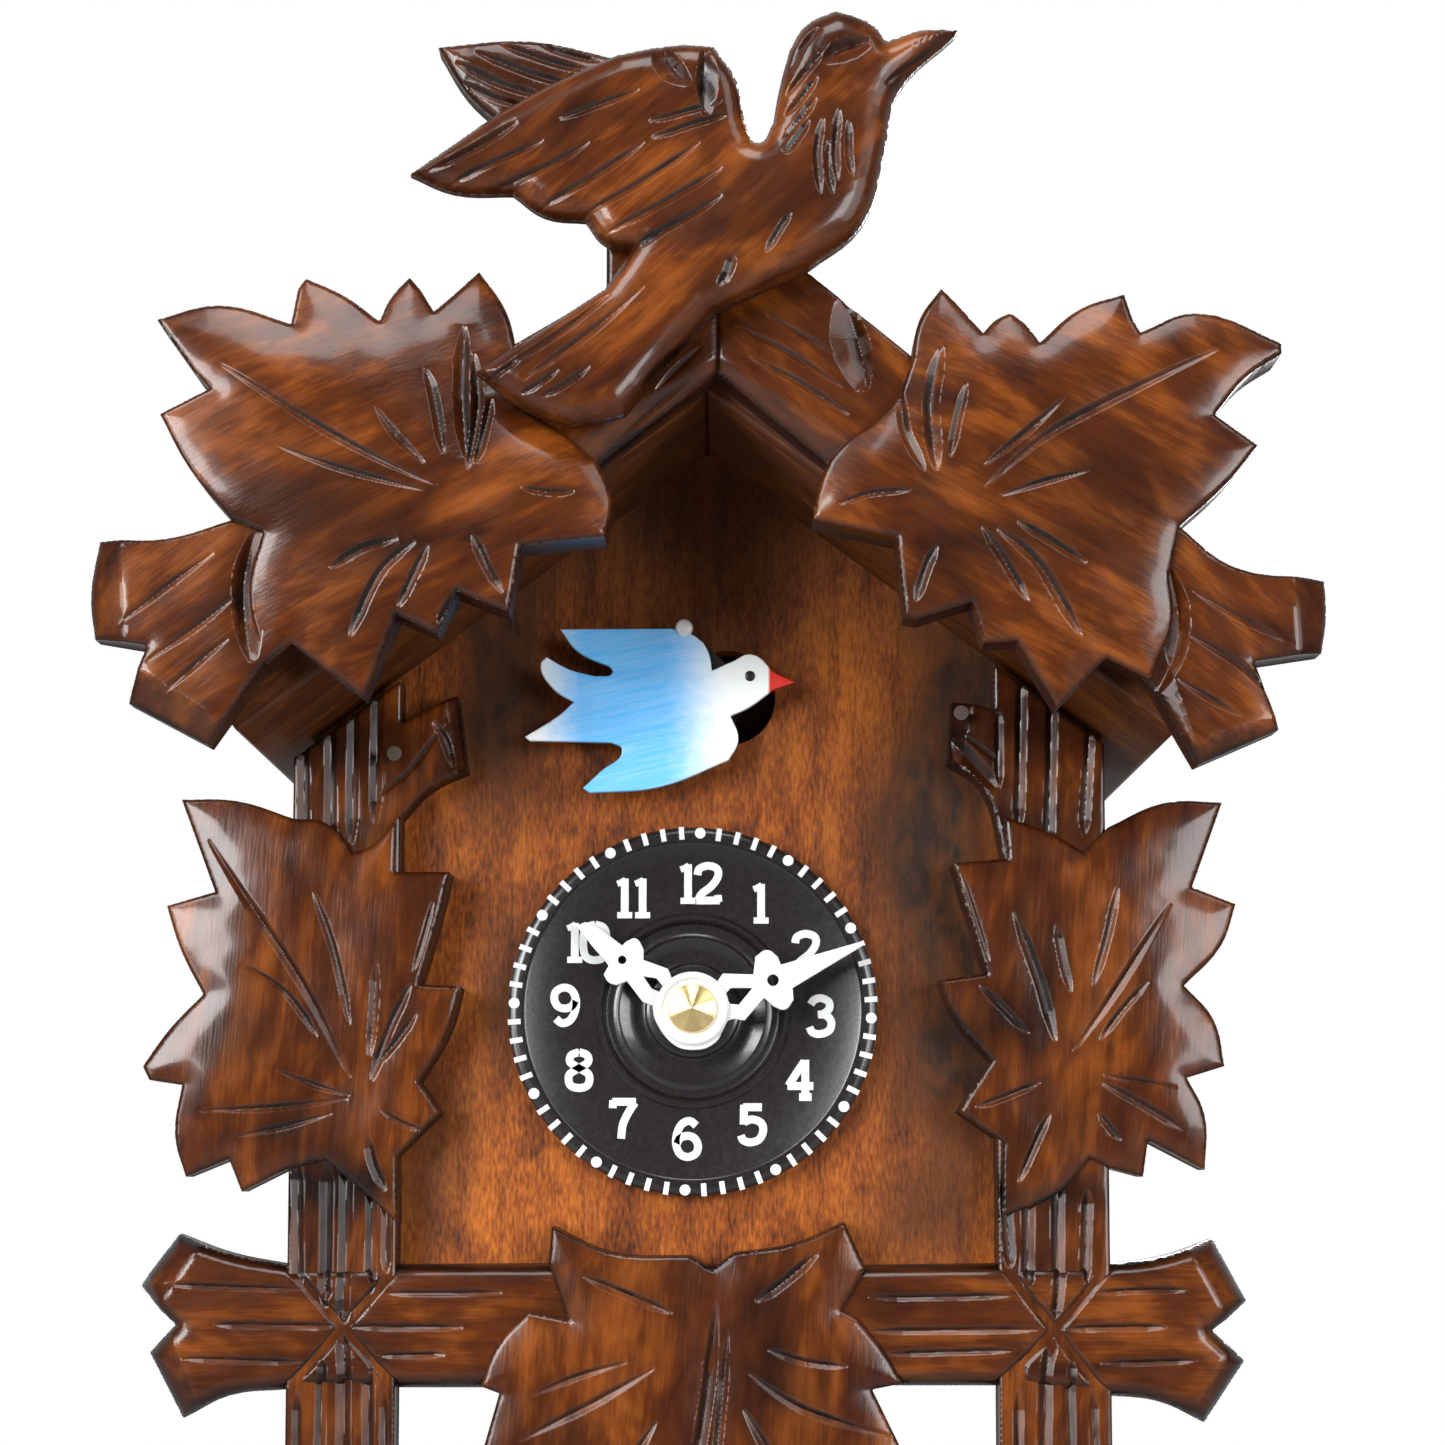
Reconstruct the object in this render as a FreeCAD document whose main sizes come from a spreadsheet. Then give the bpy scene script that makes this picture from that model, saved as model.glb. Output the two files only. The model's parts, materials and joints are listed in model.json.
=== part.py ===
"""Miniature carved cuckoo clock with a rocking bird: a parametric document in millimetres.

X runs to the right, -Y towards the viewer and +Z up. The origin is the middle of the hanger
hole, in the plane of the wall that the case hangs on.
"""
import FreeCAD, Part
import math
import os
import re

V = FreeCAD.Vector
AXIS_Y = V(0, 1, 0)
doc = FreeCAD.newDocument("cuckoo_clock")

# Driving dimensions: the case, its carvings, the dial and the movement.
SIZES = [
    ("case_width", 82), ("case_depth", 42), ("panel_thick", 3.5), ("wall_thick", 3.5),
    ("case_floor", -78), ("floor_thick", 3.5), ("slot_width", 24),
    ("roof_apex", 14), ("roof_slope", 36.5), ("roof_thick", 4), ("roof_length", 68),
    ("eave_out", 4), ("gable_thick", 3.8), ("gable_bottom", -24),
    ("hanger_thick", 1.2), ("hanger_bore", 3.2), ("hanger_width", 18), ("hanger_height", 10),
    ("nail_room", 5), ("screw_radius", 0.8), ("screw_head", 1.6), ("screw_head_thick", 0.8),
    ("cover_thick", 1.5), ("key_hole", 5), ("cover_cleat", 4),
    ("relief_thick", 6), ("gable_relief", 8), ("bird_proud", 3.5), ("bird_thick", 10),
    ("post_spread", 72), ("post_shift", -1), ("post_width", 11), ("bar_top", -70.5),
    ("bar_height", 13), ("seat_gap", 0.3), ("brad_radius", 0.35), ("brad_head", 0.75),
    ("brad_proud", 0.4), ("dial_radius", 19), ("dial_thick", 2.5), ("mark_thick", 0.15),
    ("mark_ring", 17.8), ("dial_turn", 2.4), ("hand_thick", 0.7), ("hand_gap", 1.1),
    ("minute_reach", 18.5), ("hour_reach", 14.5), ("hub_radius", 3.6), ("cap_radius", 2.5),
    ("cap_height", 2.2), ("centre_xpos", -1.5), ("centre_zpos", -44.7),
    ("bird_hole", 5), ("pallet_xpos", 2.1), ("pallet_zpos", -11.9), ("bird_flat", 1),
    ("arm_thick", 0.9), ("arm_gap", 2.6), ("arm_hub", 2.1), ("cleat_thick", 4),
    ("plate_thick", 1), ("plate_gap", 17), ("plate_left", -18), ("plate_right", 25),
    ("plate_bottom", -73.5), ("plate_top", -6), ("pillar_radius", 1.7), ("pillar_inset", 2.8),
    ("nut_radius", 1.9), ("nut_thick", 1), ("pivot_radius", 0.5), ("arbor_radius", 0.8),
    ("running", 0.05), ("end_shake", 0.3), ("wheel_thick", 0.8), ("pinion_long", 1.8),
    ("great_xpos", 10), ("great_zpos", -57), ("third_xpos", -12.5), ("third_zpos", -33),
    ("escape_xpos", -3), ("escape_zpos", -24), ("escape_radius", 9), ("motion_pitch", 6),
    ("centre_plane", 1.3), ("third_plane", 6.1), ("escape_plane", 11.1), ("great_plane", 12.7),
    ("ratchet_plane", 14.4), ("barrel_radius", 11.5), ("barrel_depth", 8.6), ("barrel_wall", 0.7),
    ("spring_thick", 0.25), ("winding_radius", 1.5), ("square_side", 2.2), ("ratchet_radius", 6),
    ("click_stud", 0.6), ("key_hub", 2.6), ("key_wing", 8.5), ("key_blade", 1.2),
    ("key_long", 7.5), ("pipe_wall", 0.4), ("pipe_bore", 0.85), ("pendulum_room", 5),
    ("rod_radius", 0.5), ("pendulum_long", 96), ("bob_radius", 9.5), ("bob_thick", 2.5),
    ("bob_drop", 88), ("crutch_long", 12), ("crutch_thick", 0.8),
]
TEETH = {"great": 60, "centre_pinion": 10, "centre": 96, "third_pinion": 8, "third": 96,
         "escape_pinion": 8, "escape": 42, "cannon": 10, "minute": 30, "minute_pinion": 8,
         "hour": 32, "ratchet": 20}

sheet = doc.addObject("Spreadsheet::Sheet", "Sizes")
for row, (alias, number) in enumerate(SIZES, start=1):
    sheet.set("A%d" % row, alias)
    sheet.set("B%d" % row, str(number))
    sheet.setAlias("B%d" % row, alias)
doc.recompute()
NUMBERS = dict(SIZES)

# Depths that several pieces share, worked out from the driving dimensions.
PLACES = {
    "panel_front": "-case_depth",
    "panel_back": "(panel_front + panel_thick)",
    "plate_face": "(panel_back + cleat_thick)",
    "plate_inner": "(plate_face + plate_thick)",
    "rear_inner": "(plate_inner + plate_gap)",
    "rear_face": "(rear_inner + plate_thick)",
    "cover_face": "(rear_face + pendulum_room)",
    "cover_back": "(cover_face + cover_thick)",
    "dial_front": "(panel_front - dial_thick)",
    "hour_back": "(dial_front - hand_gap)",
    "minute_back": "(hour_back - hand_thick - hand_gap)",
    "arm_back": "(panel_front - arm_gap)",
    "bird_back": "(arm_back - arm_thick)",
    "relief_front": "(panel_front - relief_thick)",
    "left_post": "(post_shift - post_spread / 2)",
    "right_post": "(post_shift + post_spread / 2)",
}
nodes = {}


def bound(text):
    """Spell an expression out in the sheet's cells."""
    def word(match):
        name = match.group(0)
        if name in PLACES:
            return bound(PLACES[name])
        return "Sizes." + name if name in NUMBERS else name
    return re.sub(r"[a-z_]{3,}", word, str(text))


def put(obj, where, turn=0, axis=AXIS_Y):
    """Place an object: x, y and z are expressions, the turn is in degrees."""
    obj.Placement = FreeCAD.Placement(V(0, 0, 0), FreeCAD.Rotation(axis, turn))
    for key, text in zip("xyz", where):
        obj.setExpression("Placement.Base." + key, bound(text))


def keep(label, obj):
    obj.Label = label
    nodes[label] = obj
    return obj


def box(name, corner, length, width, height):
    piece = doc.addObject("Part::Box", name)
    for prop, text in (("Length", length), ("Width", width), ("Height", height)):
        piece.setExpression(prop, bound(text))
    put(piece, corner)
    return piece


def rod(name, x, y, z, radius, length):
    """A cylinder that starts at depth y and runs towards the wall."""
    piece = doc.addObject("Part::Cylinder", name)
    piece.setExpression("Radius", bound(radius))
    piece.setExpression("Height", bound(length))
    put(piece, (x, y, z), -90, V(1, 0, 0))
    return piece


def fuse(name, *pieces):
    whole = doc.addObject("Part::MultiFuse", name)
    whole.Shapes = list(pieces)
    return whole


def cut(name, base, *tools):
    result = doc.addObject("Part::Cut", name)
    result.Base = base
    result.Tool = tools[0] if len(tools) == 1 else fuse(name + "_tools", *tools)
    return result


def group(name, pieces):
    together = doc.addObject("Part::Compound", name)
    together.Links = pieces
    return together


def feature(name, shape, where):
    piece = doc.addObject("Part::Feature", name)
    piece.Shape = shape
    put(piece, where)
    return piece


def trace(sketch, points):
    """Draw a closed outline; a point marked 1 is the middle of an arc between its neighbours."""
    count = len(points)
    start = next(i for i, point in enumerate(points) if len(point) == 2)
    ring = [points[(start + i) % count] for i in range(count)] + [points[start]]
    i = 0
    while i < count:
        here = V(ring[i][0], ring[i][1], 0)
        after = ring[i + 1]
        if len(after) == 3:
            end = ring[i + 2]
            edge = Part.Arc(here, V(after[0], after[1], 0), V(end[0], end[1], 0))
            i += 2
        else:
            edge = Part.LineSegment(here, V(after[0], after[1], 0))
            i += 1
        sketch.addGeometry(edge, False)


def plate(name, outline, back, thick, holes=(), where=None, turn=0):
    """A PartDesign body: an outline seen from the front, padded forwards from depth back."""
    body = doc.addObject("PartDesign::Body", name)
    sketch = body.newObject("Sketcher::SketchObject", name + "_outline")
    plane = [f for f in body.Origin.OriginFeatures if f.Role == "XZ_Plane"][0]
    sketch.AttachmentSupport = (plane, [""])
    sketch.MapMode = "FlatFace"
    sketch.setExpression("AttachmentOffset.Base.z", bound("-(%s)" % back))
    trace(sketch, outline)
    for x, z, radius in holes:
        sketch.addGeometry(Part.Circle(V(x, z, 0), V(0, 0, 1), radius), False)
    pad = body.newObject("PartDesign::Pad", name + "_pad")
    pad.Profile = sketch
    pad.setExpression("Length", bound(thick))
    if where:
        put(body, where, turn)
    return body


def turned(name, profile, where):
    """A PartDesign revolution about the Y axis; the profile is (radius, depth) corners."""
    body = doc.addObject("PartDesign::Body", name)
    sketch = body.newObject("Sketcher::SketchObject", name + "_profile")
    plane = [f for f in body.Origin.OriginFeatures if f.Role == "XY_Plane"][0]
    sketch.AttachmentSupport = (plane, [""])
    sketch.MapMode = "FlatFace"
    trace(sketch, profile)
    spin = body.newObject("PartDesign::Revolution", name + "_turn")
    spin.Profile = sketch
    spin.ReferenceAxis = (sketch, ["V_Axis"])
    spin.Angle = 360
    put(body, where)
    return body


def polar(radius, degrees):
    angle = math.radians(degrees)
    return V(radius * math.cos(angle), 0, radius * math.sin(angle))


def disc(radius, thick, start=0):
    return Part.makeCylinder(radius, thick, V(0, start, 0), AXIS_Y)


def toothed(teeth, pitch, thick, bore, phase=0, spokes=0):
    """A toothed wheel on the Y axis; thin short teeth keep it free of its mate."""
    module = 2 * pitch / teeth
    step = 360 / teeth
    corners = []
    for i in range(teeth):
        middle = phase + i * step
        for radius, share in ((pitch - 0.95 * module, -0.22), (pitch + 0.65 * module, -0.07),
                              (pitch + 0.65 * module, 0.07), (pitch - 0.95 * module, 0.22)):
            corners.append(polar(radius, middle + share * step))
    rim = Part.Face(Part.makePolygon(corners + corners[:1]))
    wheel = rim.extrude(V(0, thick, 0)).cut(disc(bore, thick))
    if spokes:
        outer = pitch - 2.6 * module
        inner = outer * 0.32
        ring = disc(outer, thick).cut(disc(inner, thick))
        bar = outer * 0.13
        for i in range(spokes):
            arm = Part.makeBox(2 * outer, thick, 2 * bar, V(0, 0, -bar))
            arm.rotate(V(0, 0, 0), AXIS_Y, i * 360 / spokes)
            ring = ring.cut(arm)
        wheel = wheel.cut(ring)
    return wheel


def centre_of(name):
    return NUMBERS[name + "_xpos"], NUMBERS[name + "_zpos"]


def bearing(first, second):
    """The direction and distance from one arbor to another, seen from the front."""
    dx = second[0] - first[0]
    dz = second[1] - first[1]
    return math.degrees(math.atan2(dz, dx)), math.hypot(dx, dz)


def gap_phase(direction, teeth):
    """Turn a wheel so that a gap between its teeth faces the given direction."""
    return direction + 180 + 180 / teeth


SIN = math.sin(math.radians(NUMBERS["roof_slope"]))
COS = math.cos(math.radians(NUMBERS["roof_slope"]))
HALF = NUMBERS["case_width"] / 2
INNER = HALF - NUMBERS["wall_thick"]
FLOOR = NUMBERS["case_floor"]
FLOOR_TOP = FLOOR + NUMBERS["floor_thick"]
APEX = NUMBERS["roof_apex"]
CENTRE = centre_of("centre")
PALLET = centre_of("pallet")
GREAT = centre_of("great")
THIRD = centre_of("third")
ESCAPE = centre_of("escape")
POSTS = [NUMBERS["post_shift"] + side * NUMBERS["post_spread"] / 2 for side in (-1, 1)]


def under_roof(x):
    """The height of the roof's underside at x."""
    return APEX - abs(x) * SIN / COS


# ---- case -------------------------------------------------------------------------------
BRADS = [(POSTS[0] + 5, under_roof(0) - 32.6), (POSTS[1] - 9, under_roof(0) - 28.4)]


def front_panel():
    outline = [(-HALF, FLOOR), (HALF, FLOOR), (HALF, under_roof(HALF)), (0, APEX),
               (-HALF, under_roof(HALF))]
    pipe = NUMBERS["pipe_bore"] + 2 * NUMBERS["pipe_wall"] + 2 * NUMBERS["running"]
    holes = [PALLET + (NUMBERS["bird_hole"],), CENTRE + (pipe + NUMBERS["seat_gap"],)]
    holes += [brad + (NUMBERS["brad_radius"],) for brad in BRADS]
    keep("front_panel", plate("front_panel", outline, "panel_back", "panel_thick", holes))


def side_walls():
    for side, label in ((-1, "left_side_wall"), (1, "right_side_wall")):
        outline = [(side * INNER, FLOOR), (side * HALF, FLOOR), (side * HALF, under_roof(HALF)),
                   (side * INNER, under_roof(INNER))]
        keep(label, plate(label, outline, "0", "case_depth - panel_thick"))


def bottom_board():
    board = box("floor_board", ("-case_width / 2 + wall_thick", "panel_back", "case_floor"),
                "case_width - 2 * wall_thick", "-panel_back", "floor_thick")
    slot = box("pendulum_slot", ("pallet_xpos - slot_width / 2", "rear_face", "case_floor - 1"),
               "slot_width", "pendulum_room", "floor_thick + 2")
    keep("bottom_board", cut("bottom_board", board, slot))


def roof_boards():
    reach = HALF + NUMBERS["eave_out"]
    thick = NUMBERS["roof_thick"]
    for side, label in ((-1, "left_roof_board"), (1, "right_roof_board")):
        outline = [(0, APEX), (side * reach, under_roof(reach)),
                   (side * (reach + thick * SIN), under_roof(reach) + thick * COS),
                   (0, APEX + thick / COS)]
        keep(label, plate(label, outline, "0", "roof_length"))


HANGER_SCREWS = [side * (NUMBERS["hanger_width"] / 2 - 3) for side in (-1, 1)]


def rear_gable():
    bottom = NUMBERS["gable_bottom"]
    outline = [(-INNER, bottom), (INNER, bottom), (INNER, under_roof(INNER)), (0, APEX),
               (-INNER, under_roof(INNER))]
    holes = [(0, 0, NUMBERS["nail_room"])] + [(x, 0, NUMBERS["screw_radius"]) for x in HANGER_SCREWS]
    keep("rear_gable", plate("rear_gable", outline, "-hanger_thick", "gable_thick", holes))


def hanger():
    wide = NUMBERS["hanger_width"] / 2
    tall = NUMBERS["hanger_height"] / 2
    bulge = wide + 1.5
    outline = [(-wide, -tall), (wide, -tall), (bulge, 0, 1), (wide, tall), (-wide, tall),
               (-bulge, 0, 1)]
    holes = [(0, 0, NUMBERS["hanger_bore"])]
    blank = plate("hanger_blank", outline, "0", "hanger_thick", holes)
    heads = []
    screws = []
    for i, x in enumerate(HANGER_SCREWS):
        heads.append(rod("hanger_sink%d" % i, x, "-hanger_thick", "0", "screw_head", "hanger_thick"))
        shank = rod("hanger_shank%d" % i, x, "-hanger_thick - gable_thick", "0", "screw_radius",
                    "gable_thick")
        head = rod("hanger_head%d" % i, x, "-hanger_thick", "0", "screw_head", "screw_head_thick")
        screws.append(fuse("hanger_screw%d" % i, shank, head))
    keep("hanger_plate", cut("hanger_plate", blank, *heads))
    keep("hanger_screws", group("hanger_screws", screws))


COVER_SCREWS = [(side * (INNER - NUMBERS["cover_cleat"] / 2), z) for side in (-1, 1)
                for z in (FLOOR_TOP + 8, NUMBERS["gable_bottom"] - 6)]


def back_cover():
    outline = [(-INNER, FLOOR_TOP), (INNER, FLOOR_TOP), (INNER, under_roof(INNER)), (0, APEX),
               (-INNER, under_roof(INNER))]
    holes = [GREAT + (NUMBERS["key_hole"],)]
    holes += [spot + (NUMBERS["screw_radius"],) for spot in COVER_SCREWS]
    keep("back_cover", plate("back_cover", outline, "cover_back", "cover_thick", holes))
    cleats = []
    bottom = FLOOR_TOP
    top = NUMBERS["gable_bottom"]
    wide = NUMBERS["cover_cleat"]
    for side, name in ((-1, "left"), (1, "right")):
        outline = [(side * INNER, bottom), (side * (INNER - wide), bottom),
                   (side * (INNER - wide), top), (side * INNER, top)]
        spots = [spot + (NUMBERS["screw_radius"],) for spot in COVER_SCREWS if spot[0] * side > 0]
        cleats.append(plate(name + "_cover_cleat", outline, "cover_face", "cover_cleat", spots))
    keep("cover_cleats", group("cover_cleats", cleats))
    screws = []
    for i, (x, z) in enumerate(COVER_SCREWS):
        shank = rod("cover_shank%d" % i, x, "cover_face - cover_cleat", z, "screw_radius",
                    "cover_cleat + cover_thick")
        head = rod("cover_head%d" % i, x, "cover_back", z, "screw_head", "screw_head_thick")
        screws.append(fuse("cover_screw%d" % i, shank, head))
    keep("back_cover_screws", group("back_cover_screws", screws))


# ---- carvings ---------------------------------------------------------------------------
LEFT_ROOF = [
    (1, 29.25), (-9.75, 22), (-18, 16.75), (-19.5, 21, 1), (-22, 24.5), (-23.75, 22, 1),
    (-26, 20.25), (-27, 22.5), (-28.75, 24), (-30.25, 22, 1), (-31.25, 19.25), (-34.25, 22, 1),
    (-38.25, 23.5), (-38.75, 22.5), (-39.25, 18.75), (-46, 20.25, 1), (-52, 18.75), (-48.5, 13.5),
    (-47, 12), (-51.5, 10), (-48.75, 4.25, 1), (-44.75, -0.5), (-50.75, -2, 1), (-57.25, -2),
    (-58.25, -7, 1), (-57.75, -11.25), (-52.5, -12.25), (-54.5, -17.25), (-47, -21.5),
    (-41.5, -13.75), (-39, -11.75), (-32.25, -16.75), (-28.75, -9.25), (-25.25, -11.25),
    (-23.25, -7), (-18.75, -9.25), (-17.25, -2.5), (-9.75, -2), (-8.75, 1.75, 1), (-10.25, 5.75),
    (1, 14)]
RIGHT_ROOF = [
    (1, 29.25), (9.75, 23.5), (19.25, 15.75), (20.5, 19.25, 1), (22.5, 22.5), (23.5, 21.5),
    (26, 17.75), (27.5, 19.25, 1), (28.5, 19.75), (30, 18.75, 1), (31.5, 16.75),
    (35.25, 19.75, 1), (39.75, 21.5), (40.25, 19.25), (40.75, 17.75), (46.5, 19.75, 1),
    (54, 16.75), (54, 15.75), (51, 13.5, 1), (47.75, 9.5), (51.75, 6.75), (48.75, 3.25, 1),
    (44.75, -1), (49.75, -4.5, 1), (58.25, -5.5), (58.75, -9.25, 1), (58, -12.75), (51.5, -13.75),
    (53.5, -19.75), (45.75, -23.5), (42, -16.25), (37.5, -13.25), (33.25, -17.75),
    (29.25, -11.75), (26.25, -11.75), (24.75, -8), (19.75, -9.75), (18.75, -9.25), (17.75, -2),
    (10.25, -0.5), (10.75, 3.25, 1), (11.75, 5.75), (1, 14)]
# The side carvings are drawn about the middle line of their post.
LEFT_LEAF = [
    (-5.5, -61), (-10.25, -63), (-11.25, -60), (-15.75, -61.5), (-16.75, -57.5, 1),
    (-16.25, -52.5), (-19.75, -52), (-20.5, -50.5), (-17.5, -46.5, 1), (-14, -43),
    (-16.5, -38.5, 1), (-18.25, -34), (-13.25, -32.5), (-16.75, -23), (-11.25, -23.5, 1),
    (-5.5, -25.5)]
LEFT_INSIDE = [
    (5.5, -15.25), (11.25, -12.25), (12.25, -20), (8.25, -22, 1), (5.5, -25), (5.5, -30.5),
    (11, -30.5), (10, -35, 1), (7.5, -42), (12, -42.5), (10.5, -47, 1), (7.5, -52), (10, -55),
    (5.5, -59.5)]
RIGHT_LEAF = [
    (5.5, -61), (9.25, -61.5), (9.75, -58), (15.25, -61), (15.25, -55.5, 1), (14, -51.5),
    (17.5, -50.5), (16.5, -45.5, 1), (13.5, -42), (17.5, -38, 1), (19.25, -34), (14.75, -32),
    (17.75, -23.5), (11.75, -23.5, 1), (5.5, -26)]
RIGHT_INSIDE = [
    (-5.5, -13.75), (-9.75, -12.75), (-10.25, -19), (-6.75, -21.5, 1), (-4.25, -29.5), (-10, -30),
    (-6.5, -41), (-11.5, -41.5), (-9.5, -46, 1), (-6, -50), (-9.5, -55), (-5.5, -58)]
POST_FOOT = [
    (-5.5, -90), (-6.5, -94.5, 1), (-8.5, -98), (-3.5, -101.5), (0, -98), (3.5, -101.5),
    (8.5, -98), (6.5, -94.5, 1), (5.5, -90)]
# The ends of the crossbar are drawn about the middle line of the post that they pass.
LEFT_STUB = [
    (-5.75, -70.5), (-11.75, -69.5, 1), (-16.75, -67.5), (-20.75, -73), (-16.75, -76.25),
    (-19.5, -79.25), (-16, -86.25), (-11, -83.75, 1), (-5.5, -83.5)]
RIGHT_STUB = [
    (5.5, -83.5), (10.5, -84.25, 1), (15, -86.75), (19.5, -80.25), (16.25, -77.25),
    (19.75, -74.5), (16.25, -68), (11.25, -70, 1), (5.75, -70.5)]
BOTTOM_LEAF = [
    (-22.75, -83.5), (-20.75, -83.5), (-22.25, -88.25), (-24, -92.5), (-18, -94.5), (-19.5, -101),
    (-12, -101.5), (-8, -106.5, 1), (-0.5, -110), (7, -106, 1), (10.5, -101), (17, -100),
    (15.5, -94), (21, -92), (19.25, -88.25), (16.75, -83.5), (19.75, -83.5)]
LEAF_TOP = [
    (16, -70.5), (14, -66.5), (9, -68.5, 1), (2.5, -69.5), (0.5, -71), (-1.5, -69.5),
    (-10, -69.5, 1), (-15.5, -66.5), (-16, -70.5)]
TOP_BIRD = [
    (24, 46.25), (21, 46.75, 1), (17, 45.75), (14.75, 47.75, 1), (12.25, 48.25), (9.25, 47.25, 1),
    (7.75, 44.5), (7, 41, 1), (6.5, 37.25), (5, 35.75, 1), (3.5, 37.75), (3, 42, 1), (0.5, 45.25),
    (-2.5, 45.25, 1), (-8.75, 44), (-14.25, 41.75, 1), (-20, 38.25), (-28, 32.5), (-24, 30.75, 1),
    (-18.5, 30.5), (-15.25, 28.5, 1), (-11.25, 28.25), (-9.75, 25.75), (-9.75, 21.5),
    (-21.75, 13.75), (-17.75, 10.5, 1), (-12.75, 8.5), (-7.5, 9.75), (0.5, 19.5), (9.75, 23.75),
    (14.75, 27.75, 1), (16.75, 35.75), (18, 40.5, 1)]
FAR_WING = [
    (-8.25, 44.5), (-17, 46.75, 1), (-25.75, 46), (-23.5, 42.25, 1), (-20, 38.75),
    (-10.25, 40.25)]


def roof_carvings():
    for label, outline in (("left_roof_carving", LEFT_ROOF), ("right_roof_carving", RIGHT_ROOF)):
        keep(label, plate(label, outline, "-roof_length", "gable_relief"))


def top_bird():
    front = "-roof_length - gable_relief - bird_proud"
    near = plate("near_side", TOP_BIRD, front + " + bird_thick", "bird_thick")
    far = plate("far_wing", FAR_WING, front + " + bird_thick", "bird_thick / 3")
    seat = [(-60, -10), (60, -17), (9.75, 23.6), (1, 29.4), (-5, 25.4), (-60, 25.4)]
    ridge = plate("ridge_seat", seat, "0", "roof_length + gable_relief")
    keep("top_bird", cut("top_bird", fuse("bird_blank", near, far), ridge))


def side_carvings():
    gap = NUMBERS["seat_gap"]
    half = NUMBERS["post_width"] / 2
    for side, label, leaf, inside, brad in ((-1, "left_side_carving", LEFT_LEAF, LEFT_INSIDE, 0),
                                            (1, "right_side_carving", RIGHT_LEAF, RIGHT_INSIDE, 1)):
        middle = POSTS[0] if side < 0 else POSTS[1]
        high = under_roof(middle - side * half) - gap
        low = under_roof(middle + side * half) - gap
        foot = POST_FOOT[::-1] if side < 0 else POST_FOOT
        outline = [(side * half, low), (-side * half, high)] + inside + foot + leaf
        spot = (BRADS[brad][0] - middle, BRADS[brad][1], NUMBERS["brad_radius"])
        post = "left_post" if side < 0 else "right_post"
        blank = plate(label + "_blank", outline, "panel_front", "relief_thick", [spot],
                      (post, "0", "0"))
        lap = box(label + "_lap", (post + " - post_width", "relief_front - 1",
                                   "bar_top - bar_height"),
                  "2 * post_width", "relief_thick / 2 + 1", "bar_height")
        keep(label, cut(label, blank, lap))


def crossbar():
    left = [(x + POSTS[0],) + tuple(rest) for x, *rest in LEFT_STUB]
    right = [(x + POSTS[1],) + tuple(rest) for x, *rest in RIGHT_STUB]
    outline = LEAF_TOP + left + BOTTOM_LEAF + right
    blank = plate("crossbar_blank", outline, "panel_front", "relief_thick")
    laps = [box("crossbar_lap%d" % i, (post + " - post_width / 2",
                                       "panel_front - relief_thick / 2", "bar_top - bar_height"),
                "post_width", "relief_thick / 2 + 1", "bar_height")
            for i, post in enumerate(("left_post", "right_post"))]
    keep("crossbar_carving", cut("crossbar_carving", blank, *laps))


def brads():
    nails = []
    for i, (x, z) in enumerate(BRADS):
        shank = rod("brad_shank%d" % i, x, "relief_front", z, "brad_radius",
                    "relief_thick + panel_thick")
        head = rod("brad_head%d" % i, x, "relief_front - brad_proud", z, "brad_head",
                   "brad_proud")
        nails.append(fuse("brad%d" % i, shank, head))
    keep("carving_brads", group("carving_brads", nails))


# ---- dial and hands ---------------------------------------------------------------------
def dial():
    rim = NUMBERS["dial_radius"]
    thick = NUMBERS["dial_thick"]
    bore = NUMBERS["pipe_bore"] + 2 * NUMBERS["pipe_wall"] + 2 * NUMBERS["running"] + 0.3
    profile = [(bore, 0), (rim, 0), (rim, -thick + 0.6), (rim - 0.5, -thick), (9.8, -thick),
               (9.5, -thick + 0.3), (4.8, -thick + 0.3), (4.5, -thick), (bore, -thick)]
    keep("dial", turned("dial", profile, ("centre_xpos", "panel_front", "centre_zpos")))
    marks = []
    turn = NUMBERS["dial_turn"]
    for i in range(60):
        on_hour = i % 5 == 0
        long = 0.9 if on_hour else 0.6
        wide = 0.9 if on_hour else 1.1
        bar = Part.makeBox(wide, NUMBERS["mark_thick"], long, V(-wide / 2, 0, -long / 2))
        bar.translate(V(0, 0, NUMBERS["mark_ring"] + 0.35))
        bar.rotate(V(0, 0, 0), AXIS_Y, i * 6 + turn)
        marks.append(bar)
    for hour in range(12):
        pad = Part.makeBox(2.4, NUMBERS["mark_thick"], 3.6, V(-1.2, 0, -1.8))
        spot = V(0, 0, 13)
        spot = FreeCAD.Rotation(AXIS_Y, hour * 30 + turn).multVec(spot)
        pad.translate(spot)
        marks.append(pad)
    where = ("centre_xpos", "dial_front - mark_thick", "centre_zpos")
    keep("dial_markings", feature("dial_markings", Part.makeCompound(marks), where))


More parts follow.
